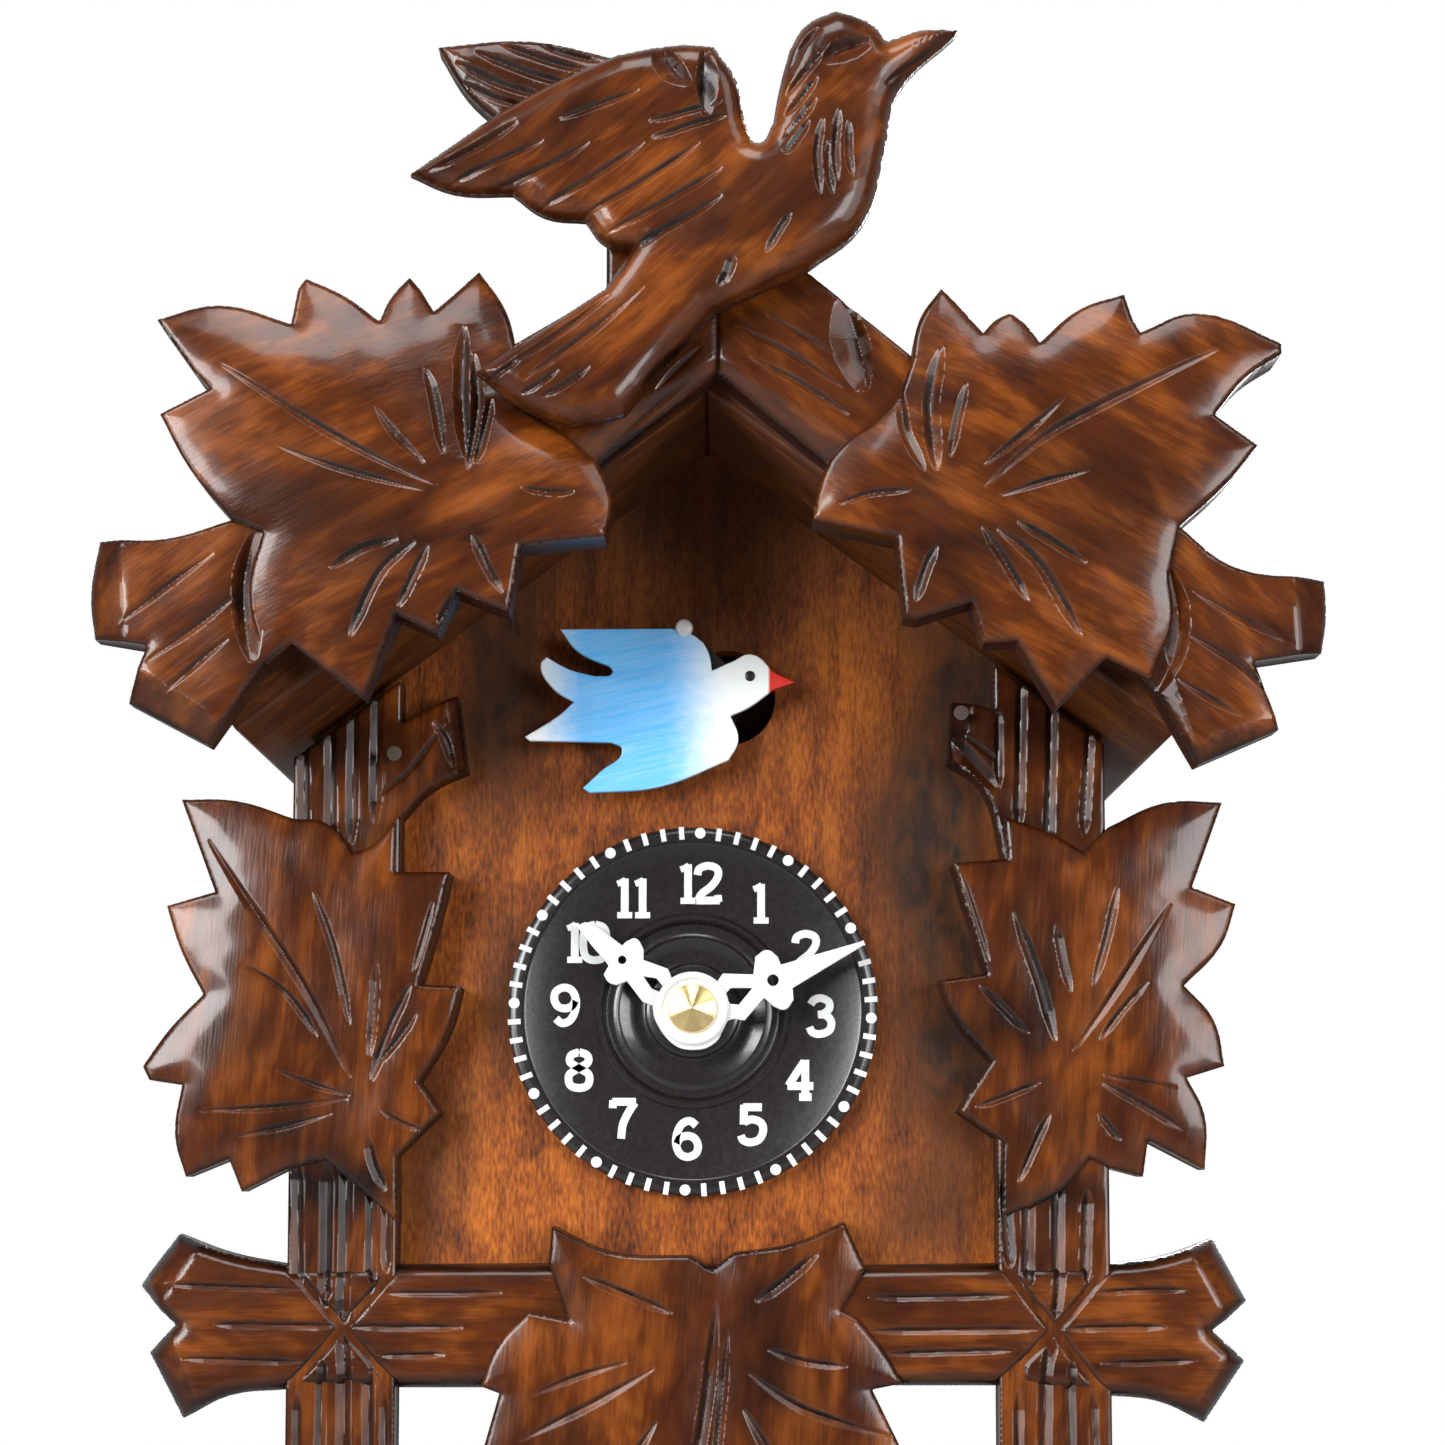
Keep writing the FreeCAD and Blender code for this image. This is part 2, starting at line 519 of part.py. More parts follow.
def hands():
    hub = NUMBERS["hub_radius"]
    pipe = NUMBERS["pipe_bore"] + NUMBERS["pipe_wall"]
    outer_pipe = pipe + NUMBERS["running"] + NUMBERS["pipe_wall"]
    for label, reach, bore, back, turn in (
            ("minute_hand", NUMBERS["minute_reach"], pipe, "minute_back", -21.9),
            ("hour_hand", NUMBERS["hour_reach"], outer_pipe, "hour_back", -143.1)):
        lobe = reach * 0.44
        waist = reach * 0.57
        half = [(lobe - 1.6, 1.1), (lobe, 2.3, 1), (lobe + 1.2, 1.3), (waist + 0.2, 0.8),
                (waist + 1.6, 1.5, 1), (waist + 3, 0.8)]
        below = [(x, -z) + tuple(rest) for x, z, *rest in reversed(half)]
        outline = [(hub * 0.8, 1.2)] + half + [(reach, 0)] + below
        outline += [(hub * 0.8, -1.2), (-hub, 0, 1)]
        holes = [(0, 0, bore), (lobe, 0, 0.7)]
        keep(label, plate(label, outline, back, "hand_thick", holes,
                          ("centre_xpos", "0", "centre_zpos"), turn))
    tall = NUMBERS["cap_height"]
    radius = NUMBERS["cap_radius"]
    profile = [(0, 0), (radius, 0), (radius, -0.4), (0.9, -tall + 0.4), (0.5, -tall), (0, -tall)]
    keep("hand_cap", turned("hand_cap", profile,
                            ("centre_xpos", "minute_back - hand_thick", "centre_zpos")))


# ---- flying bird ------------------------------------------------------------------------
FLYING_BIRD = [
    (-3.5, -5.75), (-15, -6), (-13.25, -8.25, 1), (-10, -9.75), (-9.75, -10.25), (-11.25, -10.75),
    (-14, -10.2, 1), (-16.25, -8.75), (-17, -9.5), (-15.75, -11.75, 1), (-13.5, -13.5),
    (-15, -15, 1), (-18.5, -16.75), (-18, -17.25), (-9.75, -17.5), (-9.2, -19, 1),
    (-12.75, -22), (-12, -22.5), (-4.75, -22, 1), (2.25, -19.25), (3.1, -17, 1), (2.5, -14.75),
    (4.25, -13.9, 1), (6.25, -12.5), (6.75, -12), (8.75, -11.25), (6.75, -10.25), (4.5, -8.5, 1),
    (1.5, -10.1), (0.5, -10.25), (0.2, -8.5, 1), (-0.5, -7.25)]
ARM_TIP = (-2.4, -5.9, 0.85)


def flying_bird():
    keep("flying_bird", plate("flying_bird", FLYING_BIRD, "bird_back", "bird_flat"))
    x, z, tip = ARM_TIP
    hub = NUMBERS["arm_hub"]
    direction, distance = bearing(PALLET, (x, z))
    outline = [(0, hub), (distance, tip), (distance + tip, 0, 1), (distance, -tip), (0, -hub),
               (-hub, 0, 1)]
    bore = [(0, 0, NUMBERS["pivot_radius"])]
    keep("bird_arm", plate("bird_arm", outline, "arm_back", "arm_thick", bore,
                           ("pallet_xpos", "0", "pallet_zpos"), -direction))


# ---- movement frame ---------------------------------------------------------------------
PILLARS = [(x, z) for x in (NUMBERS["plate_left"] + NUMBERS["pillar_inset"],
                            NUMBERS["plate_right"] - NUMBERS["pillar_inset"])
           for z in (NUMBERS["plate_bottom"] + NUMBERS["pillar_inset"],
                     NUMBERS["plate_top"] - NUMBERS["pillar_inset"])]
CLEATS = {"lower_movement_cleat": (NUMBERS["plate_left"], NUMBERS["plate_right"],
                                   NUMBERS["plate_bottom"], NUMBERS["plate_bottom"] + 8),
          "upper_left_cleat": (NUMBERS["plate_left"], -5.5, -14.5, NUMBERS["plate_top"]),
          "upper_right_cleat": (11, NUMBERS["plate_right"], -14.5, NUMBERS["plate_top"])}
MOVEMENT_SCREWS = [(-9, NUMBERS["plate_bottom"] + 4), (14, NUMBERS["plate_bottom"] + 4),
                   (-9.5, -10.2), (15.5, -10.2)]
MOTION_STUD = (CENTRE[0] + NUMBERS["motion_pitch"] * math.cos(math.radians(-60)),
               CENTRE[1] + NUMBERS["motion_pitch"] * math.sin(math.radians(-60)))
CLICK_ANGLE = 35
CLICK_STUD = (GREAT[0] + 9 * math.cos(math.radians(CLICK_ANGLE)),
              GREAT[1] + 9 * math.sin(math.radians(CLICK_ANGLE)))


def movement_plates():
    left, right = NUMBERS["plate_left"], NUMBERS["plate_right"]
    bottom, top = NUMBERS["plate_bottom"], NUMBERS["plate_top"]
    outline = [(left, bottom), (right, bottom), (right, top), (left, top)]
    running = NUMBERS["running"]
    pivot = NUMBERS["pivot_radius"] + running
    shared = [THIRD + (pivot,), ESCAPE + (pivot,), PALLET + (pivot,)]
    shared += [spot + (NUMBERS["pivot_radius"],) for spot in PILLARS]
    shared.append(CENTRE + (NUMBERS["pipe_bore"] - NUMBERS["running"] + running,))
    shared.append(GREAT + (NUMBERS["winding_radius"] + running,))
    screws = [spot + (NUMBERS["screw_radius"],) for spot in MOVEMENT_SCREWS]
    stud = [MOTION_STUD + (NUMBERS["click_stud"],)]
    click = [CLICK_STUD + (NUMBERS["click_stud"],)]
    keep("front_plate", plate("front_plate", outline, "plate_inner", "plate_thick",
                              shared + screws + stud))
    keep("back_plate", plate("back_plate", outline, "rear_face", "plate_thick", shared + click))


def movement_frame():
    pillars = []
    nuts = []
    for i, (x, z) in enumerate(PILLARS):
        barrel = rod("pillar_barrel%d" % i, x, "plate_inner", z, "pillar_radius", "plate_gap")
        stem = rod("pillar_stem%d" % i, x, "plate_face - nut_thick", z, "pivot_radius",
                   "plate_gap + 2 * plate_thick + 2 * nut_thick")
        pillars.append(fuse("pillar%d" % i, barrel, stem))
        for end, depth in (("front", "plate_face - nut_thick"), ("rear", "rear_face")):
            blank = rod("nut_%s%d" % (end, i), x, depth, z, "nut_radius", "nut_thick")
            bore = rod("nut_bore_%s%d" % (end, i), x, depth, z, "pivot_radius", "nut_thick")
            nuts.append(cut("nut_ring_%s%d" % (end, i), blank, bore))
    keep("plate_pillars", group("plate_pillars", pillars))
    keep("pillar_nuts", group("pillar_nuts", nuts))
    stud = rod("minute_stud", MOTION_STUD[0], "plate_face - 3", MOTION_STUD[1], "click_stud",
               "3 + plate_thick")
    keep("minute_wheel_stud", stud)
    pin = rod("click_pin", CLICK_STUD[0], "rear_inner - 3", CLICK_STUD[1], "click_stud",
              "3 + plate_thick")
    keep("click_stud_pin", pin)


def movement_cleats():
    for label, (left, right, bottom, top) in CLEATS.items():
        outline = [(left, bottom), (right, bottom), (right, top), (left, top)]
        holes = [spot + (NUMBERS["screw_radius"],) for spot in MOVEMENT_SCREWS
                 if left < spot[0] < right and bottom < spot[1] < top]
        reach = NUMBERS["nut_radius"] + NUMBERS["seat_gap"]
        corners = [(x, z) for x, z in PILLARS if left < x < right and bottom < z < top]
        holes += [corner + (reach,) for corner in corners]
        keep(label, plate(label, outline, "plate_face", "cleat_thick", holes))
    screws = []
    for i, (x, z) in enumerate(MOVEMENT_SCREWS):
        shank = rod("movement_shank%d" % i, x, "panel_back", z, "screw_radius",
                    "cleat_thick + plate_thick")
        head = rod("movement_head%d" % i, x, "plate_inner", z, "screw_head", "screw_head_thick")
        screws.append(fuse("movement_screw%d" % i, shank, head))
    keep("movement_screws", group("movement_screws", screws))


# ---- going train ------------------------------------------------------------------------
def pitch_radius(distance, teeth, mate):
    return distance * teeth / (teeth + mate)


def arbor(label, name, pinion, plane):
    """A steel arbor between the plates with its pinion cut on it."""
    x, z = name + "_xpos", name + "_zpos"
    body = rod(label + "_body", x, "plate_inner + end_shake", z, "arbor_radius",
               "plate_gap - 2 * end_shake")
    pivots = rod(label + "_pivots", x, "plate_face", z, "pivot_radius",
                 "plate_gap + 2 * plate_thick")
    leaves = feature(label + "_leaves", pinion, (x, plane, z))
    keep(label, fuse(label, body, pivots, leaves))


def going_train():
    thick = NUMBERS["wheel_thick"]
    long = NUMBERS["pinion_long"]
    seat = NUMBERS["arbor_radius"]
    margin = "(pinion_long - wheel_thick) / 2"
    toward, distance = bearing(GREAT, CENTRE)
    count, mate = TEETH["great"], TEETH["centre_pinion"]
    great = toothed(count, pitch_radius(distance, count, mate), thick,
                    NUMBERS["winding_radius"] + NUMBERS["running"], toward)
    centre_pinion = toothed(mate, pitch_radius(distance, mate, count), long, 0.1,
                            gap_phase(toward, mate))
    toward, distance = bearing(CENTRE, THIRD)
    count, mate = TEETH["centre"], TEETH["third_pinion"]
    centre = toothed(count, pitch_radius(distance, count, mate), thick, seat, toward, 5)
    third_pinion = toothed(mate, pitch_radius(distance, mate, count), long, 0.1,
                           gap_phase(toward, mate))
    toward, distance = bearing(THIRD, ESCAPE)
    count, mate = TEETH["third"], TEETH["escape_pinion"]
    third = toothed(count, pitch_radius(distance, count, mate), thick, seat, toward, 5)
    escape_pinion = toothed(mate, pitch_radius(distance, mate, count), long, 0.1,
                            gap_phase(toward, mate))
    arbor("third_arbor", "third", third_pinion, "plate_inner + centre_plane - " + margin)
    arbor("escape_arbor", "escape", escape_pinion, "plate_inner + third_plane - " + margin)
    keep("third_wheel", feature("third_wheel", third,
                                ("third_xpos", "plate_inner + third_plane", "third_zpos")))
    keep("centre_wheel", feature("centre_wheel", centre,
                                 ("centre_xpos", "plate_inner + centre_plane", "centre_zpos")))
    # The centre arbor carries the cannon pinion in front of the plates.
    shaft = rod("centre_shaft", "centre_xpos", "minute_back - hand_thick + 0.2", "centre_zpos",
                "pipe_bore - running", "rear_face - minute_back + hand_thick - 0.2")
    body = rod("centre_body", "centre_xpos", "plate_inner + end_shake", "centre_zpos",
               "arbor_radius", "plate_gap - 2 * end_shake")
    leaves = feature("centre_leaves", centre_pinion,
                     ("centre_xpos", "plate_inner + great_plane - " + margin, "centre_zpos"))
    keep("centre_arbor", fuse("centre_arbor", shaft, body, leaves))
    barrel_drum(great)
    escape_wheel()


def escape_wheel():
    count = TEETH["escape"]
    tip = NUMBERS["escape_radius"]
    root = tip - 1.2
    corners = []
    for i in range(count):
        corners.append(polar(tip, i * 360 / count))
        corners.append(polar(root, (i + 0.2) * 360 / count))
        corners.append(polar(root, (i + 0.75) * 360 / count))
    thick = NUMBERS["wheel_thick"]
    wheel = Part.Face(Part.makePolygon(corners + corners[:1])).extrude(V(0, thick, 0))
    wheel = wheel.cut(disc(NUMBERS["arbor_radius"], thick))
    for i in range(4):
        window = Part.makeCylinder(1.7, thick, polar(4.6, i * 90 + 45), AXIS_Y)
        wheel = wheel.cut(window)
    keep("escape_wheel", feature("escape_wheel", wheel,
                                 ("escape_xpos", "plate_inner + escape_plane", "escape_zpos")))


def barrel_drum(great):
    """The spring barrel with the great wheel's teeth at its rear edge, its cover and spring."""
    deep = NUMBERS["barrel_depth"]
    wall = NUMBERS["barrel_wall"]
    outer = NUMBERS["barrel_radius"]
    bore = NUMBERS["winding_radius"] + NUMBERS["running"]
    drum = disc(outer, deep, -deep).cut(disc(outer - wall, deep, -deep))
    where = ("great_xpos", "plate_inner + great_plane", "great_zpos")
    keep("spring_barrel", feature("spring_barrel", great.fuse(drum), where))
    cover = disc(outer, wall, -deep - wall).cut(disc(bore, wall, -deep - wall))
    keep("barrel_cover", feature("barrel_cover", cover, where))
    turns = 9
    inner = NUMBERS["winding_radius"] + 0.6
    rise = (outer - wall - inner - NUMBERS["spring_thick"]) / turns
    sides = []
    for offset in (0, NUMBERS["spring_thick"]):
        ring = [polar(inner + offset + rise * i / 12, i * 30) + V(0, 0.6 - deep, 0)
                for i in range(turns * 12 + 1)]
        curve = Part.BSplineCurve()
        curve.interpolate(ring)
        sides.append(curve.toShape())
    first, second = sides
    ends = [Part.makeLine(first.Vertexes[i].Point, second.Vertexes[i].Point) for i in (0, -1)]
    ribbon = Part.Face(Part.Wire(Part.__sortEdges__([first, ends[1], second, ends[0]])))
    spring = ribbon.extrude(V(0, deep - 1.2, 0))
    keep("mainspring", feature("mainspring", spring, where))


def winding():
    x, z = "great_xpos", "great_zpos"
    shaft = rod("winding_shaft", x, "plate_face", z, "winding_radius", "rear_face - plate_face")
    square = box("winding_square", (x + " - square_side / 2", "rear_face", z + " - square_side / 2"),
                 "square_side", "cover_back - rear_face + 3", "square_side")
    keep("winding_arbor", fuse("winding_arbor", shaft, square))
    count = TEETH["ratchet"]
    tip = NUMBERS["ratchet_radius"]
    corners = []
    for i in range(count):
        corners.append(polar(tip, CLICK_ANGLE + 60 + i * 360 / count))
        corners.append(polar(tip - 1, CLICK_ANGLE + 60 + (i + 0.12) * 360 / count))
    thick = NUMBERS["wheel_thick"]
    wheel = Part.Face(Part.makePolygon(corners + corners[:1])).extrude(V(0, thick, 0))
    wheel = wheel.cut(disc(NUMBERS["winding_radius"], thick))
    keep("ratchet_wheel", feature("ratchet_wheel", wheel,
                                  (x, "plate_inner + ratchet_plane", z)))
    hub = rod("key_hub_blank", x, "cover_back + 0.5", z, "key_hub", "3.5")
    wing = box("key_wing_blank", (x + " - key_blade / 2", "cover_back + 3", z + " - key_wing"),
               "key_blade", "key_long - 3", "2 * key_wing")
    bore = box("key_bore", (x + " - square_side / 2", "cover_back", z + " - square_side / 2"),
               "square_side", "3", "square_side")
    keep("winding_key", cut("winding_key", fuse("key_blank", hub, wing), bore))


def click_work():
    """A click on its stud, its beak just over the ratchet's teeth, and the leaf spring above it."""
    stud = NUMBERS["click_stud"] + NUMBERS["running"]
    outline = [(0, 1.4), (-5.2, 2.2), (-6.1, 1.3), (-5.9, 0.75), (-4.5, 0.55), (-2, -0.3),
               (-0.5, -1.3), (1.4, 0, 1)]
    keep("click", plate("click", outline, "plate_inner + ratchet_plane + wheel_thick",
                        "wheel_thick", [(0, 0, stud)], (CLICK_STUD[0], "0", CLICK_STUD[1])))
    leaf = box("click_leaf", (CLICK_STUD[0] - 6.5, "rear_inner - 2.4", CLICK_STUD[1] + 3.4), "8",
               "1", "0.3")
    foot = box("click_foot", (CLICK_STUD[0] + 1.2, "rear_inner - 2.4", CLICK_STUD[1] + 3.4), "1.2",
               "2.4", "1.4")
    keep("click_spring", fuse("click_spring", leaf, foot))


# ---- motion work ------------------------------------------------------------------------
def motion_work():
    thick = NUMBERS["wheel_thick"]
    pitch = NUMBERS["motion_pitch"]
    running = NUMBERS["running"]
    inner = NUMBERS["pipe_bore"]
    cannon_out = inner + NUMBERS["pipe_wall"]
    hour_in = cannon_out + running
    toward, _ = bearing(CENTRE, MOTION_STUD)
    cannon = toothed(TEETH["cannon"], pitch_radius(pitch, TEETH["cannon"], TEETH["minute"]),
                     thick, inner, toward)
    minute = toothed(TEETH["minute"], pitch_radius(pitch, TEETH["minute"], TEETH["cannon"]),
                     thick, NUMBERS["click_stud"] + running, gap_phase(toward, TEETH["minute"]))
    leaves = toothed(TEETH["minute_pinion"],
                     pitch_radius(pitch, TEETH["minute_pinion"], TEETH["hour"]), thick + 0.3,
                     NUMBERS["click_stud"] + running, gap_phase(toward, TEETH["minute_pinion"]))
    leaves.translate(V(0, -thick - 0.3, 0))
    hour = toothed(TEETH["hour"], pitch_radius(pitch, TEETH["hour"], TEETH["minute_pinion"]),
                   thick, hour_in, toward)
    plane = "plate_face - end_shake - wheel_thick"
    lay = ("centre_xpos", plane, "centre_zpos")
    pipe = rod("cannon_tube", "centre_xpos", "minute_back - hand_thick + 0.1", "centre_zpos",
               "pipe_bore + pipe_wall", plane + " - minute_back + hand_thick - 0.1 + wheel_thick")
    bore = rod("cannon_bore", "centre_xpos", "minute_back - hand_thick - 1", "centre_zpos",
               "pipe_bore", "plate_gap + case_depth")
    blank = fuse("cannon_blank", pipe, feature("cannon_leaves", cannon, lay))
    keep("cannon_pinion", cut("cannon_pinion", blank, bore))
    keep("minute_wheel", feature("minute_wheel", minute.fuse(leaves),
                                 (MOTION_STUD[0], plane, MOTION_STUD[1])))
    hour_plane = plane + " - wheel_thick - end_shake"
    tube = rod("hour_tube", "centre_xpos", "hour_back - hand_thick", "centre_zpos",
               "pipe_bore + 2 * pipe_wall + running",
               hour_plane + " - hour_back + hand_thick + wheel_thick")
    hollow = rod("hour_bore", "centre_xpos", "hour_back - hand_thick - 1", "centre_zpos",
                 "pipe_bore + pipe_wall + running", "plate_gap + case_depth")
    lay = ("centre_xpos", hour_plane, "centre_zpos")
    blank = fuse("hour_blank", tube, feature("hour_teeth", hour, lay))
    keep("hour_wheel", cut("hour_wheel", blank, hollow))


# ---- escapement and pendulum ------------------------------------------------------------
def escapement():
    x, z = "pallet_xpos", "pallet_zpos"
    keep("pallet_arbor", rod("pallet_arbor", x, "bird_back", z, "pivot_radius",
                             "rear_face + 1.6 - bird_back"))
    direction, _ = bearing(PALLET, ESCAPE)
    outline = [(-1.9, 0, 1), (0.2, 1.9), (3.4, 7.7), (6.2, 8.3), (5.9, 7.1), (2, 1.6),
               (2, -1.6), (5.9, -7.1), (6.2, -8.3), (3.4, -7.7), (0.2, -1.9)]
    keep("pallets", plate("pallets", outline, "plate_inner + escape_plane + 1.2", "1.6",
                          [(0, 0, NUMBERS["pivot_radius"])], (x, "0", z), -direction))
    drop = NUMBERS["crutch_long"]
    outline = [(-1.8, 0), (0, 1.8, 1), (1.8, 0), (1, -drop), (0, -drop - 1, 1), (-1, -drop)]
    holes = [(0, 0, NUMBERS["pivot_radius"]), (0, -drop, NUMBERS["rod_radius"])]
    keep("crutch", plate("crutch", outline, "rear_face + seat_gap + crutch_thick",
                         "crutch_thick", holes, (x, "0", z)))


def pendulum():
    x, z = "pallet_xpos", "pallet_zpos"
    depth = "rear_face + seat_gap + crutch_thick + rod_radius"
    hook = rod("rod_hook", x, "rear_face + seat_gap", z + " - crutch_long", "rod_radius",
               "crutch_thick + rod_radius")
    wire = doc.addObject("Part::Cylinder", "rod_wire")
    wire.setExpression("Radius", bound("rod_radius"))
    wire.setExpression("Height", bound("pendulum_long - crutch_long"))
    put(wire, (x, depth, z + " - pendulum_long"))
    keep("pendulum_rod", fuse("pendulum_rod", hook, wire))
    blank = rod("bob_blank", x, depth + " - bob_thick / 2", z + " - bob_drop", "bob_radius",
                "bob_thick")
    bore = doc.addObject("Part::Cylinder", "bob_bore")
    bore.setExpression("Radius", bound("rod_radius + running"))
    bore.setExpression("Height", bound("3 * bob_radius"))
    put(bore, (x, depth, z + " - bob_drop - 1.5 * bob_radius"))
    keep("pendulum_bob", cut("pendulum_bob", blank, bore))


def check_and_write():
    doc.recompute()
    for obj in doc.Objects:
        if "Invalid" in obj.State or "Error" in obj.State:
            raise RuntimeError("failed object: " + obj.Name)
    os.makedirs("parts", exist_ok=True)
    for label, obj in nodes.items():
        shape = obj.Shape
        if shape.isNull() or not shape.isValid() or not shape.Solids:
            raise RuntimeError("bad shape: " + label)
    for label, obj in nodes.items():
        obj.Shape.exportStep(os.path.join("parts", label + ".step"))
        print("%-24s %2d solids %10.2f mm3" % (label, len(obj.Shape.Solids), obj.Shape.Volume))


for build in (front_panel, side_walls, bottom_board, roof_boards, rear_gable, hanger, back_cover,
              roof_carvings, top_bird, side_carvings, crossbar, brads, dial, hands, flying_bird,
              movement_plates, movement_frame, movement_cleats, going_train, winding,
              click_work, motion_work, escapement, pendulum):
    build()
check_and_write()
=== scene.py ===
import json
import math

import bmesh
import bpy
import numpy as np
from mathutils import Matrix, Vector
from mathutils.kdtree import KDTree


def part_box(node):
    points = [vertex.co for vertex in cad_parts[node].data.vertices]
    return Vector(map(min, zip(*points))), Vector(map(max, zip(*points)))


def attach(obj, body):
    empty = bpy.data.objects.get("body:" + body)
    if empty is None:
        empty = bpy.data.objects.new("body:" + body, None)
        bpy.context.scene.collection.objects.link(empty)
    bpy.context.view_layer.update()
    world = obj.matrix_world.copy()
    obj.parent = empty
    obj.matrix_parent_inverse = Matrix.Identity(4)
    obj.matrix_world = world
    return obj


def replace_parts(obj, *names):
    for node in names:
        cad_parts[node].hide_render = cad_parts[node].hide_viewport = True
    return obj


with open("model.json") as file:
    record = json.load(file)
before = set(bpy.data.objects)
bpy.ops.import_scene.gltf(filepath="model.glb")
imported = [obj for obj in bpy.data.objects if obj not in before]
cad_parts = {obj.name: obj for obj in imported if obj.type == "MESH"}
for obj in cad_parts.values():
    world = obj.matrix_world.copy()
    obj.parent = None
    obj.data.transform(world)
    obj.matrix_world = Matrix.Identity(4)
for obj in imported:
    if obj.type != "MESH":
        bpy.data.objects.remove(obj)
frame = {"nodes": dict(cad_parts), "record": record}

mm = 0.001
scene = bpy.context.scene
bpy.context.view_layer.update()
nodes = frame["nodes"]


def depthOf(node, side=0):  # how far the node's front, or with side 1 its back, is from the wall
    return round(-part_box(node)[side].y / mm, 3)


leafFront, roofFront = depthOf("left_roof_carving"), depthOf("left_roof_board")
sideFront, panelFront = depthOf("left_side_carving"), depthOf("front_panel")
birdFront, birdBack = depthOf("top_bird"), depthOf("top_bird", 1)
inkBack, minuteFront = depthOf("dial_markings", 1), depthOf("minute_hand")
joints = frame["record"]["behaviour"]["joints"]
dialPivot = next(joint["pos_m"] for joint in joints if joint["name"] == "minute_spin")
dialX, dialZ = (round(dialPivot[axis] / mm, 3) for axis in (0, 2))
roofSeat = roofFront + 1.5  # the carvings' backs, let in behind the board's front
rodX = round(sum(corner.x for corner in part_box("pendulum_rod")) / 2 / mm, 2)


class Wire:  # one socket of a material's tree, so that sums on it make its nodes
    def __init__(self, tree, socket=None):
        self.tree = tree
        self.socket = socket

    def add(self, kind, settings=None, sockets=None, out=0):
        node = self.tree.nodes.new(kind)
        for key, value in (settings or {}).items():
            if key == "stops":
                ramp = node.color_ramp
                while len(ramp.elements) < len(value):
                    ramp.elements.new(1)
                for element, (place, colour) in zip(ramp.elements, value):
                    element.position = place
                    element.color = (*colour, 1)
            else:
                setattr(node, key, value)
        for key, value in (sockets or {}).items():
            if isinstance(value, Wire):
                self.tree.links.new(value.socket, node.inputs[key])
            else:
                node.inputs[key].default_value = value
        return Wire(self.tree, node.outputs[out])

    def sum(self, operation, *values):
        return self.add("ShaderNodeMath", {"operation": operation}, dict(enumerate(values)))

    def __add__(self, other):
        return self.sum("ADD", self, other)

    def __radd__(self, other):
        return self.sum("ADD", other, self)

    def __sub__(self, other):
        return self.sum("SUBTRACT", self, other)

    def __rsub__(self, other):
        return self.sum("SUBTRACT", other, self)

    def __mul__(self, other):
        return self.sum("MULTIPLY", self, other)

    def clamped(self, low=0.0, high=1.0):
        return self.sum("MINIMUM", self.sum("MAXIMUM", self, low), high)

    def over(self, low, high):  # 0 under low, 1 over high, eased between them
        return self.add("ShaderNodeMapRange", {"interpolation_type": "SMOOTHSTEP"},
                        {0: self, 1: low, 2: high, 3: 0.0, 4: 1.0})

    def tint(self, factor, first, second, how="MIX"):
        full = [c if isinstance(c, Wire) else (*c, 1) for c in (first, second)]
        return self.add("ShaderNodeMix", {"data_type": "RGBA", "blend_type": how},
                        {0: factor, 6: full[0], 7: full[1]}, 2)

    def noise(self, place, scale, detail=3.0, twist=0.0):
        return self.add("ShaderNodeTexNoise", {},
                        {"Vector": place, "Scale": scale, "Detail": detail, "Distortion": twist})

    def placed(self, where=(0, 0, 0), turn=0.0, size=(1, 1, 1)):  # own coordinates, in mm
        spot = self.add("ShaderNodeTexCoord", {}, {}, 3)
        return self.add("ShaderNodeMapping", {"vector_type": "TEXTURE"},
                        {"Vector": spot, "Location": [w * mm for w in where],
                         "Rotation": (0, math.radians(turn), 0), "Scale": [s * mm for s in size]})

    def spot(self, x, z, wide, tall):  # a soft round patch seen from the front
        place = self.placed((x, 0, z), 0, (wide, 1e5, tall))
        return self.add("ShaderNodeTexGradient", {"gradient_type": "SPHERICAL"},
                        {"Vector": place}, 1).over(0.0, 1.0)


def newFinish(name, fixed):
    material = bpy.data.materials.new(name)
    material.use_nodes = True
    shader = material.node_tree.nodes["Principled BSDF"]
    for key, value in fixed.items():
        shader.inputs[key].default_value = value
    return material, Wire(material.node_tree), shader


def plug(wire, shader, values):
    for key, value in values.items():
        wire.tree.links.new(value.socket, shader.inputs[key])


def bumped(wire, height, depth):
    return wire.add("ShaderNodeBump", {}, {"Height": height, "Distance": depth * mm, "Strength": 1.0})


